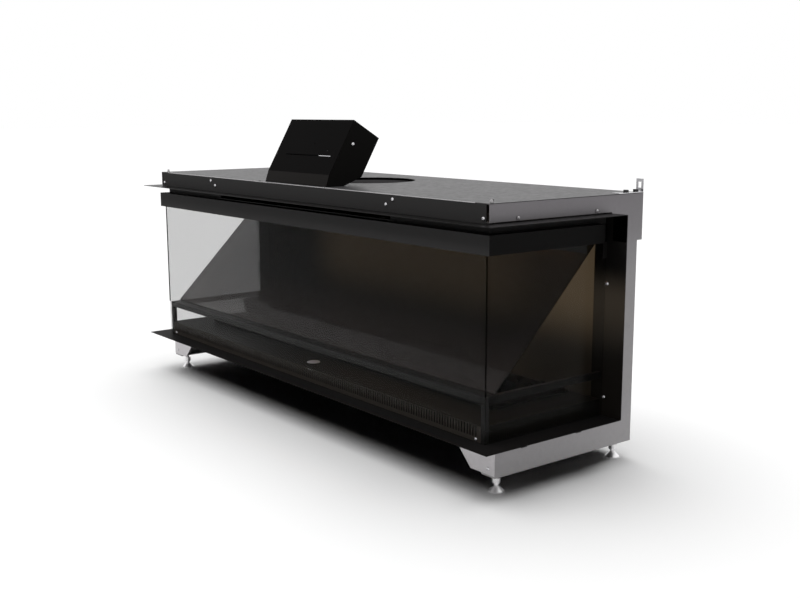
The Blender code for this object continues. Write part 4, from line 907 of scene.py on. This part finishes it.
def logCap(ring, middle, inward, angle):
    # an end: rings that shrink to the pole, dish inwards and ripple like torn wood
    s = logSize
    ripple = np.array([inward * s["capRipple"], 0, 0]) * np.sin(17 * angle)[:, None]
    return middle + np.array([inward * s["capPole"], 0, 0]), [
        middle + (ring - middle) * f + np.array([inward * s["capDish"] * (1 - f), 0, 0]) + ripple * f
        for f in s["capRings"]]


stubSize = {"taper": 0.35, "wave": 0.06, "long": 1.7, "tip": 1.55, "lean": 0.25, "hold": 0.72, "rings": 7, "steps": 18}


def logStub(at, around, size, length, radius, seed):
    # a short snapped stub, thicker at the root, that leaves the bark at a slant:
    # r = root (1 - taper t + wave sin 11 t), h = long root t, and its tip is sunk in a little
    s = stubSize
    t = np.linspace(0, 1, s["rings"])
    root = size * radius
    sides = np.stack([root * (1 - s["taper"] * t + s["wave"] * np.sin(11 * t)), s["long"] * root * t], axis=1)
    profile = np.concatenate([[[0, 0]], sides, [[0, s["tip"] * root]]])
    out = np.array([s["lean"], math.cos(around), math.sin(around)])
    hold = s["hold"] * float(logReach(np.array(at), np.array(around), radius, seed))
    centre = np.array([(at - 0.5) * length, float(logCentreLine(np.array(at), radius, seed)), 0]) + out * hold
    return placed(turnedSurface(profile, s["steps"]), centre, out)


def logShape(index):
    s = logSize
    across, back, yaw, long, thick = s["layout"][index]
    seed, length, radius = float(index), long * s["length"], thick * s["radius"]
    share = np.linspace(0, 1, s["along"])[:, None]
    angle = np.linspace(0, math.tau, s["around"], endpoint=False)[None]
    reach = logReach(share, angle, radius, seed)
    x = (share - 0.5) * length + 0 * angle
    y = logCentreLine(share, radius, seed) + reach * np.cos(angle)
    body = np.stack([x, y, reach * np.sin(angle)], axis=2)
    middles = [np.array([x[end, 0], logCentreLine(share[end, 0], radius, seed), 0]) for end in (0, -1)]
    firstPole, firstCap = logCap(body[0], middles[0], 1, angle[0])
    lastPole, lastCap = logCap(body[-1], middles[1], -1, angle[0])
    rows = [*firstCap, *body, *lastCap[::-1]]
    points = np.concatenate([[firstPole], *rows, [lastPole]])
    n, count = s["around"], len(rows)
    i = np.arange(count - 1)[:, None] * n + 1
    j = np.arange(n)[None]
    k = (j + 1) % n
    quads = np.stack([i + j, i + n + j, i + n + k, i + k], axis=2).reshape(-1, 4).tolist()
    base = 1 + (count - 1) * n
    first = [[0, 1 + int(a), 1 + int(b)] for a, b in zip(j[0], k[0])]
    last = [[len(points) - 1, base + int(b), base + int(a)] for a, b in zip(j[0], k[0])]
    stubs = [logStub(*stub, length, radius, seed) for stub in s["stubs"]]
    points, faces = joinShapes([(points, quads + first + last), *stubs])
    place = np.array([across * s["bedHalf"], sheetPlaces["fasciaY"] + s["bedFront"] + back * s["bedDepth"],
                      s["restZ"] - points[:, 2].min()])
    return turnedAboutZ(points, yaw) + place, faces


def addLogs():
    for index in range(len(logSize["layout"])):
        log = makePiece(f"charredLog{index + 1}", *logShape(index), charredBark, slot="charred_bark")
        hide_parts(f"log_{index + 1}")


addLogs()
print("logs added")


# Ember chunks strewn over the bed

emberSize = {
    "count": 300, "small": 0.0055, "large": 0.0125, "inset": 0.014, "rise": 0.25, "seed": 12,
    "rough": (0.72, 1.18), "squash": (0.6, 1.0), "rings": 6, "around": 8,
}


def addEmbers():
    # each chunk is a small ball, its radius changed point by point and squashed a little
    s = emberSize
    rng = np.random.default_rng(s["seed"])
    low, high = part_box("ember_bed")
    t = np.linspace(0, math.pi, s["rings"])
    ball = np.stack([np.sin(t), -np.cos(t)], axis=1)
    shapes = []
    for _ in range(s["count"]):
        size = rng.uniform(s["small"], s["large"])
        points, faces = turnedSurface(ball, s["around"])
        points = points * rng.uniform(*s["rough"], (len(points), 1)) * rng.uniform(*s["squash"], 3) * size
        yaw = rng.uniform(0, math.tau)
        x, y = (rng.uniform(low[axis] + s["inset"], high[axis] - s["inset"]) for axis in (0, 1))
        shapes.append((turnedAboutZ(points, yaw) + [x, y, high[2] + s["rise"] * size], faces))
    makePiece("emberChunks", *joinShapes(shapes), emberResin, slot="ember_resin", smooth=False)


addEmbers()
print("embers added")
